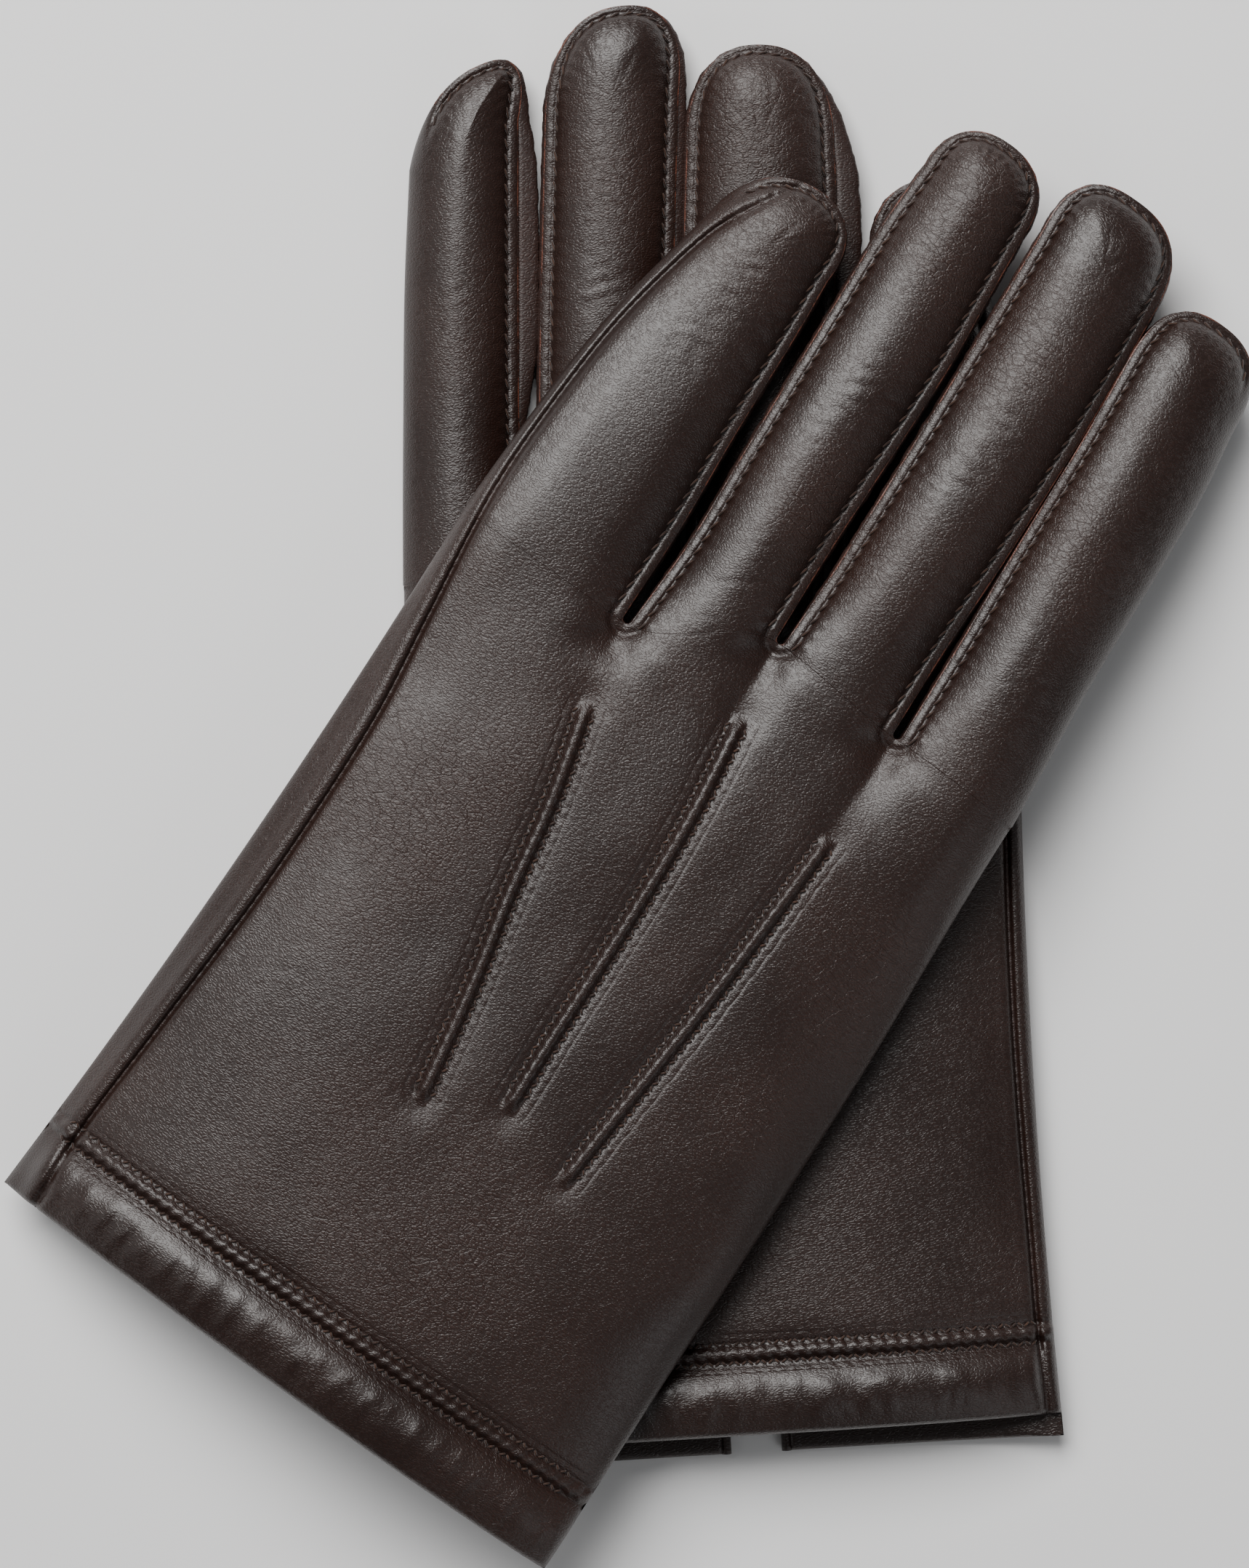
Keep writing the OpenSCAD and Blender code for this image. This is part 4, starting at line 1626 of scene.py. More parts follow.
    def palm_panel(self) -> None:
        """The palm of the hand, with the slit at the cuff and the bulge over the tucked thumb."""
        form = self.form
        share = np.concatenate([[0, 0.002, 0.006, 0.014, 0.03], np.linspace(0.05, 1, 46)])
        top = np.full(len(share) * 2, 147.0)
        n = len(share)

        def spread(v: Array) -> Array:
            """Place the columns: the little side of the slit, then the index side.

            Args:
                v: Place of each column along the hand.

            Returns:
                Places across the hand.
            """
            slit = form.vent_w / 2 * np.clip((form.vent_len - v) / (form.vent_len - form.hem_d), 0, 1)
            left = mix(form.little_edge(v[:n]), form.vent_u - slit[:n], share)
            right = mix(form.vent_u + slit[n:], form.index_edge(v[n:]), 1 - share[::-1])
            return np.concatenate([left, right])

        for _ in range(4):
            top = form.web_line(spread(top))
        rows = np.concatenate([np.linspace(0, 0.97, 108), [0.98, 0.988, 0.994, 0.998, 1.0]])
        v = form.hem_d - 0.6 + (top - form.hem_d + 0.6)[None] * rows[:, None]
        u = np.stack([spread(row) for row in v])
        z = form.palm(u, v)
        faces = [f for f in quads(*u.shape) if f[0] % (2 * n) != n - 1]
        obj = self.piece("palm_panel", Patch(u, v, z, faces), Coat.LEATHER, ("palm_panel",), Face.PALM,
                         weld=True)
        thicken(obj, form.leather_t)
        self.hang(obj)

    # ---- hems and slit

    def hem(self, face: Face, u0: float | None, u1: float | None, label: str, nodes: tuple[str, ...],
            v_end: float = 0.0) -> None:
        """A folded hem: out to the cuff's edge, round it, and back inside.

        Args:
            face: Back or palm.
            u0: Where it starts across the hand, or None for the little edge.
            u1: Where it ends, or None for the index edge.
            label: The piece's name.
            nodes: The nodes it replaces.
            v_end: Place of the cuff's edge.
        """
        form = self.form
        full = form.hem_d + 0.9
        share = (1 - np.cos(np.linspace(0, math.pi, 150))) / 2 * 0.35 + np.linspace(0, 1, 150) * 0.65
        round_r = self.hem_round
        flat_v, turn = np.arange(full, v_end + 2.2, -0.45), np.linspace(math.pi / 2, 0, 8)
        outer_v = np.concatenate([flat_v, v_end + round_r * (1 - np.cos(turn))])
        outer_down = np.concatenate([np.zeros(len(flat_v)), round_r * (1 - np.sin(turn))])
        flat_v, turn = np.arange(v_end + 2, full - 1, 1.2), np.linspace(0, math.pi / 2, 6)[1:]
        inner_v = np.concatenate([v_end + round_r * (1 - np.cos(turn)), flat_v])
        inner_down = np.concatenate([round_r * (1 + np.sin(turn)), np.full(len(flat_v), 2 * round_r)])
        v_line, down = np.concatenate([outer_v, inner_v]), np.concatenate([outer_down, inner_down])
        v = np.repeat(v_line[:, None], len(share), axis=1)
        a = form.little_edge(v) if u0 is None else np.full_like(v, u0)
        b = form.index_edge(v) if u1 is None else np.full_like(v, u1)
        u = mix(a, b, share[None])
        m = form.middle(u, v)
        ripple = crease(u / 4.5 + 0.5 * noise(u / 12, v / 12, form.seed + 21), v / 16, form.seed + 22, 4)
        ripple = ripple + 0.6 * noise(u / 6, v / 11, form.seed + 23)
        if face is Face.BACK:
            ripple = 0.24 * ripple * smooth(form.hem_d - 3, form.hem_d - 6, v)
            skin = form.back(u, v, plain=True) + form.hem_puff(u, v) * (1 + ripple)
            z = np.maximum(m + 0.02, skin - down[:, None])
        else:
            skin = form.palm(u, v)
            z = np.minimum(m - 0.02, skin + down[:, None])
        edge = np.minimum(u - a, b - u)
        tuck = (1 - smooth(0, 1.2, edge)) * (0.0 if u0 is None and u1 is None else 1.0)
        closed = np.where((np.abs(u - a) < np.abs(b - u)) == (u0 is None), 0.0, tuck)
        z = mix(z, mix(z, skin + (round_r if face is Face.PALM else -round_r), 0.6), closed)
        faces = quads(len(v_line), len(share)) + self.hem_ends(len(v_line), len(share))
        obj = self.piece(label, Patch(u, v, z, faces), Coat.LEATHER, nodes,
                         Face.PALM if face is Face.BACK else Face.BACK)
        self.hang(obj)

    @staticmethod
    def hem_ends(rows: int, cols: int) -> list:
        """Close a hem: its two ends, and the slot between its inner and outer edge.

        Args:
            rows: Points round the fold.
            cols: Points across the hand.

        Returns:
            Lists of point numbers.
        """
        ends = [[r * cols for r in range(rows)], [r * cols + cols - 1 for r in range(rows - 1, -1, -1)]]
        top = [[c, (rows - 1) * cols + c, (rows - 1) * cols + c + 1, c + 1] for c in range(cols - 1)]
        return ends + top

    def hems(self) -> None:
        """Both hems, the palm's in two parts beside the slit."""
        form = self.form
        self.hem(Face.BACK, None, None, "back_hem", ("back_hem",))
        side = form.vent_w / 2 + 0.8
        for label, u0, u1 in (("little", None, form.vent_u - side), ("index", form.vent_u + side, None)):
            self.hem(Face.PALM, u0, u1, f"palm_hem_{label}_part", ("palm_hem",), -form.palm_reach)

    def vent_binding(self) -> None:
        """Narrow bound edges of the palm's slit."""
        form = self.form
        for way, label in ((-1, "little"), (1, "index")):
            v = np.concatenate([np.arange(-form.palm_reach, form.vent_len - 1, 0.8), [form.vent_len - 0.8]])
            slit = form.vent_w / 2 * np.clip((form.vent_len - v) / (form.vent_len - form.hem_d), 0, 1)
            turn = np.linspace(0, 2 * math.pi, 17)[:-1]
            wide = np.interp(v, [form.vent_len - 6, form.vent_len], [0.85, 0.45])
            u = form.vent_u + way * (slit + 0.75)[:, None] + wide[:, None] * np.cos(turn)[None]
            vv = np.repeat(v[:, None], len(turn), axis=1)
            base = form.palm(np.full_like(u, form.vent_u + way * 7), vv)
            z = base + 1.05 + 1.15 * np.sin(turn)[None] + 0.06 * noise(vv / 1.3, u / 3, form.seed + 31)
            faces = quads(len(v), len(turn), wrap=True)
            n = len(turn)
            faces += [list(range(n))[::-1], [(len(v) - 1) * n + k for k in range(n)]]
            obj = self.piece(f"vent_binding_{label}", Patch(u, vv, np.maximum(z, 0.02), faces), Coat.GUSSET,
                             ("vent_binding",), Face.PALM)
            self.hang(obj)

    # ---- ridges

    def ridge(self, label: str, line: Array, nodes: tuple[str, ...], ends: float, scallop: float) -> None:
        """A raised line: cord under the leather, with zigzag stitches along both sides.

        Args:
            label: The piece's name.
            line: Its middle line.
            nodes: The nodes it replaces.
            ends: How far the strip runs on past the line; 0 for a line from edge to edge.
            scallop: How much the ridge swells between stitches.
        """
        form = self.form
        full = length_of(line)[-1]
        t = np.arange(-ends, full + ends + 0.01, 0.26)
        t = np.linspace(-ends, full + ends, len(t))
        x = np.linspace(-self.strip_half_w, self.strip_half_w, 41)
        centre, normal = self.run(line, t)
        uv = centre[:, None] + normal[:, None] * x[None, :, None]
        u, v = uv[..., 0], uv[..., 1]
        if ends == 0:
            u = np.clip(u, form.little_edge(v) + 0.01, form.index_edge(v) - 0.01)
        tt, xx = np.meshgrid(t, x, indexing="ij")
        z = form.back(u, v) + form.hem_puff(u, v) + self.ridge_relief(tt, xx, full, ends, scallop)
        obj = self.piece(label, Patch(u, v, z, quads(*u.shape)), Coat.LEATHER, nodes)
        thicken(obj, self.ridge_t)
        self.hang(obj)

    @staticmethod
    def run(line: Array, t: Array) -> tuple[Array, Array]:
        """Walk a line, running on straight past its ends.

        Args:
            line: The line.
            t: Distances along it.

        Returns:
            Points, and the line's normals there.
        """
        full = length_of(line)[-1]
        inside = np.clip(t, 0, full)
        step = 0.5
        ahead = at_length(line, np.clip(inside + step, 0, full))
        behind = at_length(line, np.clip(inside - step, 0, full))
        way = (ahead - behind) / np.linalg.norm(ahead - behind, axis=1)[:, None]
        centre = at_length(line, inside) + way * (t - inside)[:, None]
        return centre, np.stack([way[:, 1], -way[:, 0]], axis=1)

    def ridge_relief(self, t: Array, x: Array, full: float, ends: float, scallop: float) -> Array:
        """Height of a ridge over the plain back.

        Args:
            t: Places along it.
            x: Places across it.
            full: Its length.
            ends: How far its strip runs on past it.
            scallop: Its swelling between stitches.

        Returns:
            Heights.
        """
        shown = smooth(-1.6, 2.4, t) * smooth(-1.6, 2.4, full - t) if ends else np.ones_like(t)
        wave = np.cos(2 * math.pi * t / self.ridge_stitch)
        side = np.abs(x)
        sway = 2.5 * scallop * np.sin(2 * math.pi * t / self.ridge_stitch)
        ridge = self.ridge_h * (1 + scallop * wave) * np.exp(-(np.abs(x + sway) / 1.02) ** 3)
        groove = -0.20 * hump(side - 1.72, 0.42) * (1 + 0.15 * wave)
        pucker = 0.03 * hump(side - 2.75, 0.6) * wave
        sink = 0.06 * smooth(2.9, self.strip_half_w, side)
        if ends:
            sink = np.maximum(sink, 0.06 * smooth(-1.4, -ends, t))
            sink = np.maximum(sink, 0.06 * smooth(-1.4, -ends, full - t))
        return shown * (ridge + groove + pucker) - sink

    def ridges(self) -> None:
        """The three points and the hem's ridge, with their thread."""
        form = self.form
        edge = form.hem_d
        hem = np.stack([np.linspace(form.little_edge(edge), form.index_edge(edge), 300),
                        np.full(300, edge)], axis=1)
        for k, line in enumerate(form.points):
            self.ridge(f"point_{k + 1}", line, ("points",), self.strip_end, self.scallop)
        self.ridge("hem_ridge", hem, ("back_hem",), 0, self.hem_scallop)
        marks = [self.zigzag(line, self.strip_end, self.scallop) for line in form.points]
        marks.append(self.zigzag(hem, 0, self.hem_scallop))
        self.thread("hand_thread", marks, ("thread",), None)

    def zigzag(self, line: Array, ends: float, scallop: float) -> tuple[Array, Array]:
        """Place both rows of slanted stitches beside a ridge.

        Args:
            line: Its middle line.
            ends: How far its strip runs on past it.
            scallop: Its swelling between stitches.

        Returns:
            Start and end points, each with its height over the plain leather.
        """
        full = length_of(line)[-1]
        starts, stops = [], []
        margin = 0.6 if ends else 3.0
        count = int((full - 2 * margin) / self.ridge_stitch)
        base = margin + self.ridge_stitch * np.arange(count)
        for side in (-1, 1):
            for near, far, t0, t1 in ((1.32, 2.0, 0.15, 0.95), (2.0, 1.32, 1.3, 2.1)):
                a, na = self.run(line, base + t0)
                b, nb = self.run(line, base + t1)
                zs = []
                for t, x in ((base + t0, near), (base + t1, far)):
                    zs.append(self.ridge_relief(t, np.full_like(t, x), full, ends, scallop))
                starts.append(np.column_stack([a + na * side * near, zs[0]]))
                stops.append(np.column_stack([b + nb * side * far, zs[1]]))
        return np.vstack(starts), np.vstack(stops)

    def thread(self, label: str, marks: list[tuple[Array, Array]], nodes: tuple[str, ...],
               cut: Cut | None, face: Face = Face.BACK) -> None:
        """Make all the stitches of a piece.

        Args:
            label: The piece's name.
            marks: Start and end points, each with its height over the plain leather.
            nodes: The nodes it replaces.
            cut: The finger it belongs to, if any.
            face: The side of the glove that it is on.
        """
        form = self.form
        ends = []
        for rows in (np.vstack([m[0] for m in marks]), np.vstack([m[1] for m in marks])):
            u, v, over = rows.T
            z = form.back(u, v) + over + 0.1 if face is Face.BACK else form.palm(u, v) - over - 0.1
            ends.append(form.lay.place(u, v, z))
        up = np.tile([0.0, 0.0, float(face.value)], (len(ends[0]), 1))
        xyz, faces = stitch_solids(ends[0], ends[1], up, self.thread_r, 0.16)
        obj = make_piece(f"{self.name}_{label}", xyz, faces, [self.coats[Coat.THREAD]], xyz,
                         {"raw": np.zeros(len(xyz))})
        if nodes:
            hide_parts(*(f"{self.name}_{node}" for node in nodes))
        self.hang(obj, cut)
        LOG.info("%s: %d stitches", obj.name, len(ends[0]))

    # ---- fingers

    def finger(self, cut: Cut) -> None:
        """Make a finger: its back, its palm, the walls between them, and the stitches round it.

        Args:
            cut: The finger.
        """
        form = self.form
        u, v, faces = self.finger_grid(cut, form.edge_curves(cut))
        near = form.edges.near(u, v)
        raw = near.sewn * smooth(0.42, 0.1, near.d) * (0.55 + 0.45 * noise(near.t / 7, u / 30, form.seed + 9))
        for face, height in ((Face.BACK, form.back), (Face.PALM, form.palm)):
            side = face.name.lower()
            obj = self.piece(f"{cut.name}_{side}", Patch(u, v, height(u, v), faces, {"raw": raw}),
                             Coat.LEATHER, (f"{cut.name}_{side}",), face)
            thicken(obj, form.leather_t)
            self.hang(obj, cut)
            marks = self.seam_stitches(cut, face)
            self.thread(f"{cut.name}_{side}_thread", [marks], ("thread",), cut, face)
        self.walls(cut)

    def seam_stitches(self, cut: Cut, face: Face) -> tuple[Array, Array]:
        """Place slanted stitches a little inside a finger's sewn edges.

        Args:
            cut: The finger.
            face: Back or palm; not used.

        Returns:
            Start and end points, each with its height over the plain leather.
        """
        form = self.form
        outline, sewn, lean = form.draw(cut)
        t = np.arange(2.0, length_of(outline)[-1] - 2.0, form.stitch_pitch)
        starts, stops = [], []
        rim = mix(form.rim_w, form.tip_rim, smooth(1.0, 1.12, np.interp(t, length_of(outline), lean)))
        half = self.stitch_half
        for place, store, inset in ((t - half, starts, rim - 0.22), (t + half, stops, rim + 0.38)):
            spot, normal = self.run(outline, place)
            store.append(np.column_stack([spot + normal * inset[:, None], np.full(len(t), 0.02)]))
        held = np.interp(t, length_of(outline), sewn) > 0.5
        return np.vstack(starts)[held], np.vstack(stops)[held]

    def walls(self, cut: Cut) -> None:
        """Make the side walls of a finger: a strip between back and palm wherever the edge is sewn.

        Args:
            cut: The finger.
        """
        form = self.form
        outline, sewn, _ = form.draw(cut)
        full = length_of(outline)[-1]
        t = np.linspace(0, full, round(full / 0.6))
        spot, inward = self.run(outline, t)
        shown = np.interp(t, length_of(outline), sewn)
        keep = shown > 0.02
        t, spot, inward, shown = t[keep], spot[keep], inward[keep], shown[keep]
        k = np.array([0, 0.06, 0.14, 0.25, 0.38, 0.5, 0.62, 0.75, 0.86, 0.94, 1.0])
        rim = spot + inward * 0.12
        top = form.back(rim[:, 0], rim[:, 1]) - 0.3
        base = form.palm(rim[:, 0], rim[:, 1]) + 0.3
        z = mix(top[:, None], base[:, None], k[None])
        out = self.bulge_at(cut, spot, t / full) * shown
        ripple = 0.16 * noise(t / 2.6, t * 0, form.seed + 40) + 0.1 * noise(t / 1.1, t * 0, form.seed + 41)
        swell = np.sin(math.pi * k)[None] ** 0.7
        push = (out + ripple)[:, None] * swell - 0.35 * (1 - swell) - 0.3 * (1 - shown)[:, None]
        uv = spot[:, None] - inward[:, None] * push[..., None]
        patch = Patch(uv[..., 0], uv[..., 1], z, quads(len(t), len(k)), {"raw": 0 * z})
        nodes = [FOURCHETTES[cut.name]]
        if self.name == "right" and cut.fold:
            nodes.append("finger_roots_fourchettes")
        obj = self.piece(f"{cut.name}_fourchettes", patch, Coat.GUSSET, tuple(nodes), Face.PALM)
        thicken(obj, self.wall_t)
        self.hang(obj, cut)

    def bulge_at(self, cut: Cut, spot: Array, share: Array) -> Array:
        """How far the wall stands out at each place along a finger's outline.

        Args:
            cut: The finger.
            spot: The places.
            share: How far along the outline they lie, from 0 to 1.

        Returns:
            Distances.
        """
        v = spot[:, 1]
        first, last = cut.bulge
        grown = smooth(168, 196, v) if first > 1 else np.ones_like(v)
        little = min(first, 0.4) + max(first - 0.4, 0) * grown * (1 - smooth(0.38, 0.5, share))
        tip = 1 - 0.8 * hump(share - 0.5, 0.09)
        ends = smooth(-0.1, 0.12, np.minimum(share, 1 - share))
        return mix(little, last, smooth(0.44, 0.56, share)) * tip * ends

    # ---- side welt and thumb

    def welt(self) -> None:
        """Rolled leather cord in the side seam, on the hand and on along the little finger."""
        form = self.form
        line = form.side_seam
        full = length_of(line)[-1]
        break_at = float(np.interp(form.web_line(-57), line[:, 1], length_of(line)))
        parts = (("side_welt", 1.0, break_at, None), ("little_welt", break_at, full, form.cuts[0]))
        for label, t0, t1, cut in parts:
            t = np.linspace(t0, t1, round((t1 - t0) / 0.5))
            spot, normal = self.run(line, t)
            turn = np.linspace(0, 2 * math.pi, 11)[:-1]
            thick = 0.42 + 0.07 * np.cos(2 * math.pi * t / 2.1)
            end = np.sqrt(np.clip(np.minimum(t - 1.0, full - t) / 2.0, 0.02, 1))
            radius = (thick * end)[:, None]
            uv = spot[:, None] + normal[:, None] * (radius * np.cos(turn))[..., None]
            z = (form.back(spot[:, 0], spot[:, 1], plain=True) - 0.12)[:, None] + radius * np.sin(turn)
            n = len(turn)
            faces = quads(len(t), n, wrap=True)
            faces += [list(range(n))[::-1], [(len(t) - 1) * n + k for k in range(n)]]
            obj = self.piece(label, Patch(uv[..., 0], uv[..., 1], z, faces), Coat.GUSSET, ("side_welt",),
                             Face.PALM)
            self.hang(obj, cut)

    def thumb(self) -> None:
        """The thumb, flattened under the palm, with its leaf-shaped base."""
        form = self.form
        a, b = np.array(form.thumb_root, float), np.array(form.thumb_tip, float)
        span = np.linalg.norm(b - a)
        way = (b - a) / span
        side = np.array([way[1], -way[0]])
        round_tip = span + 10.5 * np.sin(np.linspace(0, 1.55, 16))
        s = np.concatenate([np.linspace(-26, -20, 12), np.arange(-19, span, 1.0), round_tip])
        ground = np.interp(s, [-26, -14, 0, span], [0.6, 7.5, 12.5, 10.5])
        round_end = np.sqrt(np.clip(1 - (np.maximum(s - span, 0) / 10.6) ** 2, 0.001, 1))
        half = ground * np.where(s > span, round_end, 1.0)
        x = np.sin(np.linspace(-math.pi / 2, math.pi / 2, 45))
        uv = (a + way * s[:, None])[:, None] + side[None, None] * (half[:, None] * x[None])[..., None]
        u, v = uv[..., 0], uv[..., 1]
        edge = half[:, None] * (1 - np.abs(x))[None]
        full = np.clip(edge / 5.5, 0, 1)
        share = (1 - (1 - full) ** 2.2) ** 0.6
        middle = form.thumb_h / 2
        seam = -0.3 * hump(edge - 2.0, 0.45)
        rough = 0.14 * noise(u / 6, v / 6, form.seed + 51) + 0.07 * crease(u / 4, v / 3, form.seed + 52)
        rise = (middle - 0.25) * np.maximum(share, 0.2) + seam - rough * share
        faces = quads(len(s), len(x))
        for face, z in ((Face.BACK, middle + rise), (Face.PALM, np.maximum(middle - rise, 0.03))):
            label = f"thumb_{face.name.lower()}"
            obj = self.piece(label, Patch(u, v, z, faces), Coat.LEATHER, (label,), face)
            thicken(obj, self.thumb_t)
            self.hang(obj)
        self.thumb_stitches(a, way, side, s, half)

    def thumb_stitches(self, a: Array, way: Array, side: Array, s: Array, half: Array) -> None:
        """Make the stitches round the thumb, on the side that faces down.

        Args:
            a: Middle of its base.
            way: Direction to its tip.
            side: Direction across it.
            s: Places along it.
            half: Half its width at each.
        """
        form = self.form
        inset = np.maximum(half - 2.0, 0)
        ring = np.vstack([(a + way * s[:, None]) + side * (w * inset)[:, None] for w in (-1, 1)])
        n = len(s)
        outline = np.vstack([ring[:n], ring[n:][::-1]])[12:-12]
        t = np.arange(2.0, length_of(outline)[-1] - 2, form.stitch_pitch)
        starts, _ = self.run(outline, t - self.stitch_half)
        stops, _ = self.run(outline, t + self.stitch_half)
        low = form.thumb_h / 2 - (form.thumb_h / 2 - 0.25) * 0.72
        ends = [form.lay.place(p[:, 0], p[:, 1], np.full(len(p), max(low, 0.25))) for p in (starts, stops)]
        up = np.tile([0.0, 0.0, -1.0], (len(ends[0]), 1))
        xyz, faces = stitch_solids(ends[0], ends[1], up, self.thread_r, 0.1)
        xyz[:, 2] = np.maximum(xyz[:, 2], 0.02)
        obj = make_piece(f"{self.name}_thumb_thread", xyz, faces, [self.coats[Coat.THREAD]], xyz,
                         {"raw": np.zeros(len(xyz))})
        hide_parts(f"{self.name}_thread")
        self.hang(obj)

    # ---- lining

    def linings(self) -> None:
        """The knitted glove inside: a back and a palm for the hand and for every finger."""
        form = self.form
        v_line = np.arange(form.hem_d - 1.5, 141, 1.6)
        share = (1 - np.cos(np.linspace(0, math.pi, 60))) / 2
        v = np.repeat(v_line[:, None], len(share), axis=1)
        a, b = form.little_edge(v) + self.knit_edge, form.index_edge(v) - self.knit_edge
        flat = (float(np.mean(b - a)), float(np.ptp(v_line)))
        grids = {"": (mix(a, b, share[None]), v, quads(*v.shape), None, flat)}
        for cut in form.cuts:
            u, v, faces = self.finger_grid(cut, form.edge_curves(cut), 0.8, 1.6)
            mid_u, mid_v = u.mean(), v.mean()
            u, v = mid_u + (u - mid_u) * self.knit_share[0], mid_v + (v - mid_v) * self.knit_share[1]
            grids[cut.name + "_"] = (u, v, faces, cut, (float(np.ptp(u)), float(np.ptp(v))))
        for name, (u, v, faces, cut, flat) in grids.items():
            middle = form.middle(u, v)
            back = np.maximum(middle + 0.15, form.back(u, v, plain=True) - self.knit_in)
            palm = np.minimum(middle - 0.15, form.palm(u, v) + self.knit_in)
            nodes = {Face.BACK: "back_lining", Face.PALM: "palm_lining"}
            for face, z in ((Face.BACK, back), (Face.PALM, palm)):
                label = f"{name}{face.name.lower()}_lining"
                node = f"{name}lining" if cut else nodes[face]
                obj = self.piece(label, Patch(u, v, z, faces), Coat.LINING, (node,), face)
                thicken(obj, self.knit_t)
                self.hang(obj, cut)
                area = min(self.cut_area(u, v, faces), flat[0] * flat[1]) * MM * MM
                LOG.info("%s: flat %.1f x %.1f mm, %.1f cm2", obj.name, *flat, area * 1e4)
                (f"{self.name}_{name}{face.name.lower()}_leather" if cut
                                   else f"{self.name}_{face.name.lower()}_panel_leather")

    @staticmethod
    def cut_area(u: Array, v: Array, faces: list) -> float:
        """Area of a pattern piece where it is drawn flat.

        Args:
            u: Places across the hand.
            v: Places along the hand.
            faces: Lists of point numbers.

        Returns:
            Square millimetres.
        """
        u, v = u.ravel(), v.ravel()
        corners = [(np.array(face), np.roll(face, -1)) for face in faces]
        return sum(abs(float(u[i] @ v[j] - u[j] @ v[i])) / 2 for i, j in corners)

    def build(self) -> None:
        """Make every piece of the glove."""
        self.back_panel()
        self.palm_panel()
        self.hems()
        self.vent_binding()
        self.ridges()
        self.welt()
        self.thumb()
        for cut in self.form.cuts:
            self.finger(cut)
        self.linings()


# ---------------------------------------------------------------- floor, light and camera


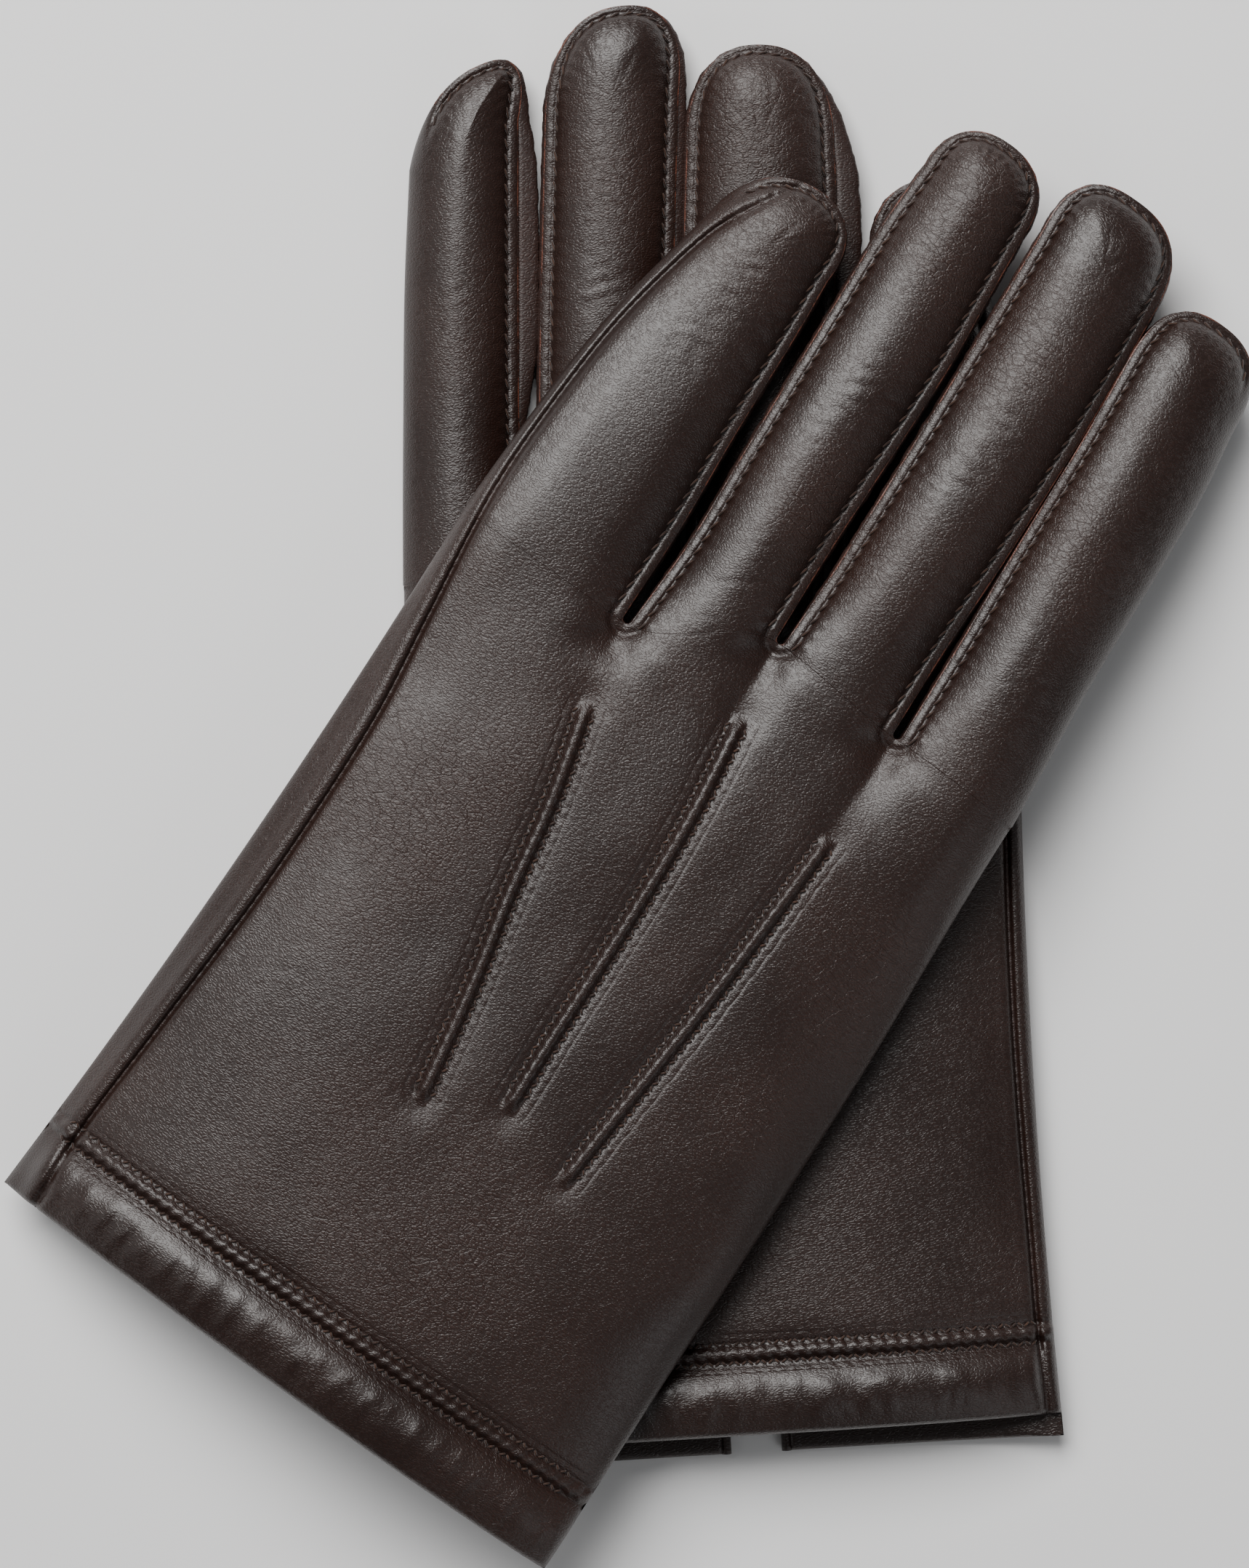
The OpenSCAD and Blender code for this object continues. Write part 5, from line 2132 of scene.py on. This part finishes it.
@dataclass
class Studio:
    """Plain pale floor, soft light and the camera straight above. Sizes are in metres.

    Attributes:
        floor_half: Half the floor's width.
        floor_z: Its height.
        view_w: Width seen at the gloves.
        glove_z: Height that this width is measured at.
        aim: Middle of the view.
        sky: Strength of the light from all round.
        lens: Focal length in millimetres.
        sensor: Width of the sensor in millimetres.
    """

    floor_half: float = 1.6
    floor_z: float = -0.0004
    view_w: float = 0.21545
    glove_z: float = 0.015
    aim: tuple[float, float] = (-0.00015, -0.0006)
    sky: float = 0.115
    lens: float = 200
    sensor: float = 36

    def build(self) -> None:
        """Make the floor, the world, the lights and the camera."""
        self.floor()
        self.world()
        self.light("key_light", (-0.34, 0.82, 1.15), 1.0, 33.0, (1.0, 0.99, 0.975))
        self.light("side_light", (-1.25, -0.05, 0.85), 0.8, 2.0, (1.0, 0.985, 0.97))
        self.light("fill_light", (0.75, -0.95, 0.9), 0.8, 2.5, (0.96, 0.98, 1.0))
        self.camera()

    def floor(self) -> None:
        """A pale sheet to lie on, seen only from above."""
        s, z = self.floor_half, self.floor_z
        mesh = bpy.data.meshes.new("floor")
        mesh.from_pydata([(-s, -s, z), (s, -s, z), (s, s, z), (-s, s, z)], [], [(0, 1, 2, 3)])
        obj = bpy.data.objects.new("floor", mesh)
        bpy.context.scene.collection.objects.link(obj)
        material = bpy.data.materials.new("floor_finish")
        material.use_nodes = True
        material.node_tree.nodes.clear()
        w = Wiring(material.node_tree)
        paper = w.add("ShaderNodeBsdfPrincipled")
        paper.inputs["Base Color"].default_value = (0.93, 0.93, 0.935, 1)
        paper.inputs["Roughness"].default_value = 0.9
        paper.inputs["Specular IOR Level"].default_value = 0.1
        through_below = w.add("ShaderNodeMixShader")
        w.join(w.add("ShaderNodeNewGeometry").outputs["Backfacing"], through_below.inputs[0])
        w.join(paper.outputs[0], through_below.inputs[1])
        w.join(w.add("ShaderNodeBsdfTransparent").outputs[0], through_below.inputs[2])
        w.join(through_below.outputs[0], w.add("ShaderNodeOutputMaterial").inputs[0])
        mesh.materials.append(material)

    def world(self) -> None:
        """Even pale light from all round."""
        world = bpy.data.worlds.new("studio")
        world.use_nodes = True
        sky = world.node_tree.nodes["Background"]
        sky.inputs["Color"].default_value = (1.0, 1.0, 1.0, 1)
        sky.inputs["Strength"].default_value = self.sky
        bpy.context.scene.world = world

    def light(self, name: str, place: tuple[float, float, float], size: float, power: float,
              colour: tuple[float, float, float]) -> None:
        """Add a square soft light aimed at the gloves.

        Args:
            name: Its name.
            place: Where it hangs.
            size: Side of the square.
            power: Watts.
            colour: Its colour.
        """
        data = bpy.data.lights.new(name, "AREA")
        data.shape = "SQUARE"
        data.size = size
        data.energy = power
        data.color = colour
        obj = bpy.data.objects.new(name, data)
        obj.location = place
        obj.rotation_euler = (-Vector(place)).to_track_quat("-Z", "Y").to_euler()
        bpy.context.scene.collection.objects.link(obj)

    def camera(self) -> None:
        """A long lens looking straight down, with the fingers of the lower glove to the top."""
        data = bpy.data.cameras.new("camera")
        data.lens = self.lens
        data.sensor_width = self.sensor
        data.sensor_fit = "HORIZONTAL"
        obj = bpy.data.objects.new("camera", data)
        height = self.view_w * self.lens / self.sensor
        data.clip_start, data.clip_end = 0.05, 20
        obj.location = (*self.aim, self.glove_z + height)
        bpy.context.scene.collection.objects.link(obj)
        bpy.context.scene.camera = obj


def main() -> None:
    """Build both gloves and the studio."""
    effects = Effects(grain_group(), loops_group(), edge_group())
    coats = {finish.coat: finish.build(effects) for finish in FINISHES}
    right = Form("right", Lay(side=-1, x=18.7, y=-113.4, lean=-3.5, upper=False), RIGHT_CUTS,
                 RIGHT_SIDE_SEAM, palm_reach=4.0, seed=11, waist=3.7)
    left = Form("left", Lay(side=1, x=-61, y=-102.6, lean=35, upper=True), LEFT_CUTS,
                LEFT_SIDE_SEAM, palm_reach=0.0, seed=71)
    for form in (right, left):
        Glove(form, coats).build()
    Studio().build()


if __name__ == "__main__":
    logging.basicConfig(level=logging.INFO, format="%(message)s", stream=sys.stdout)
    main()
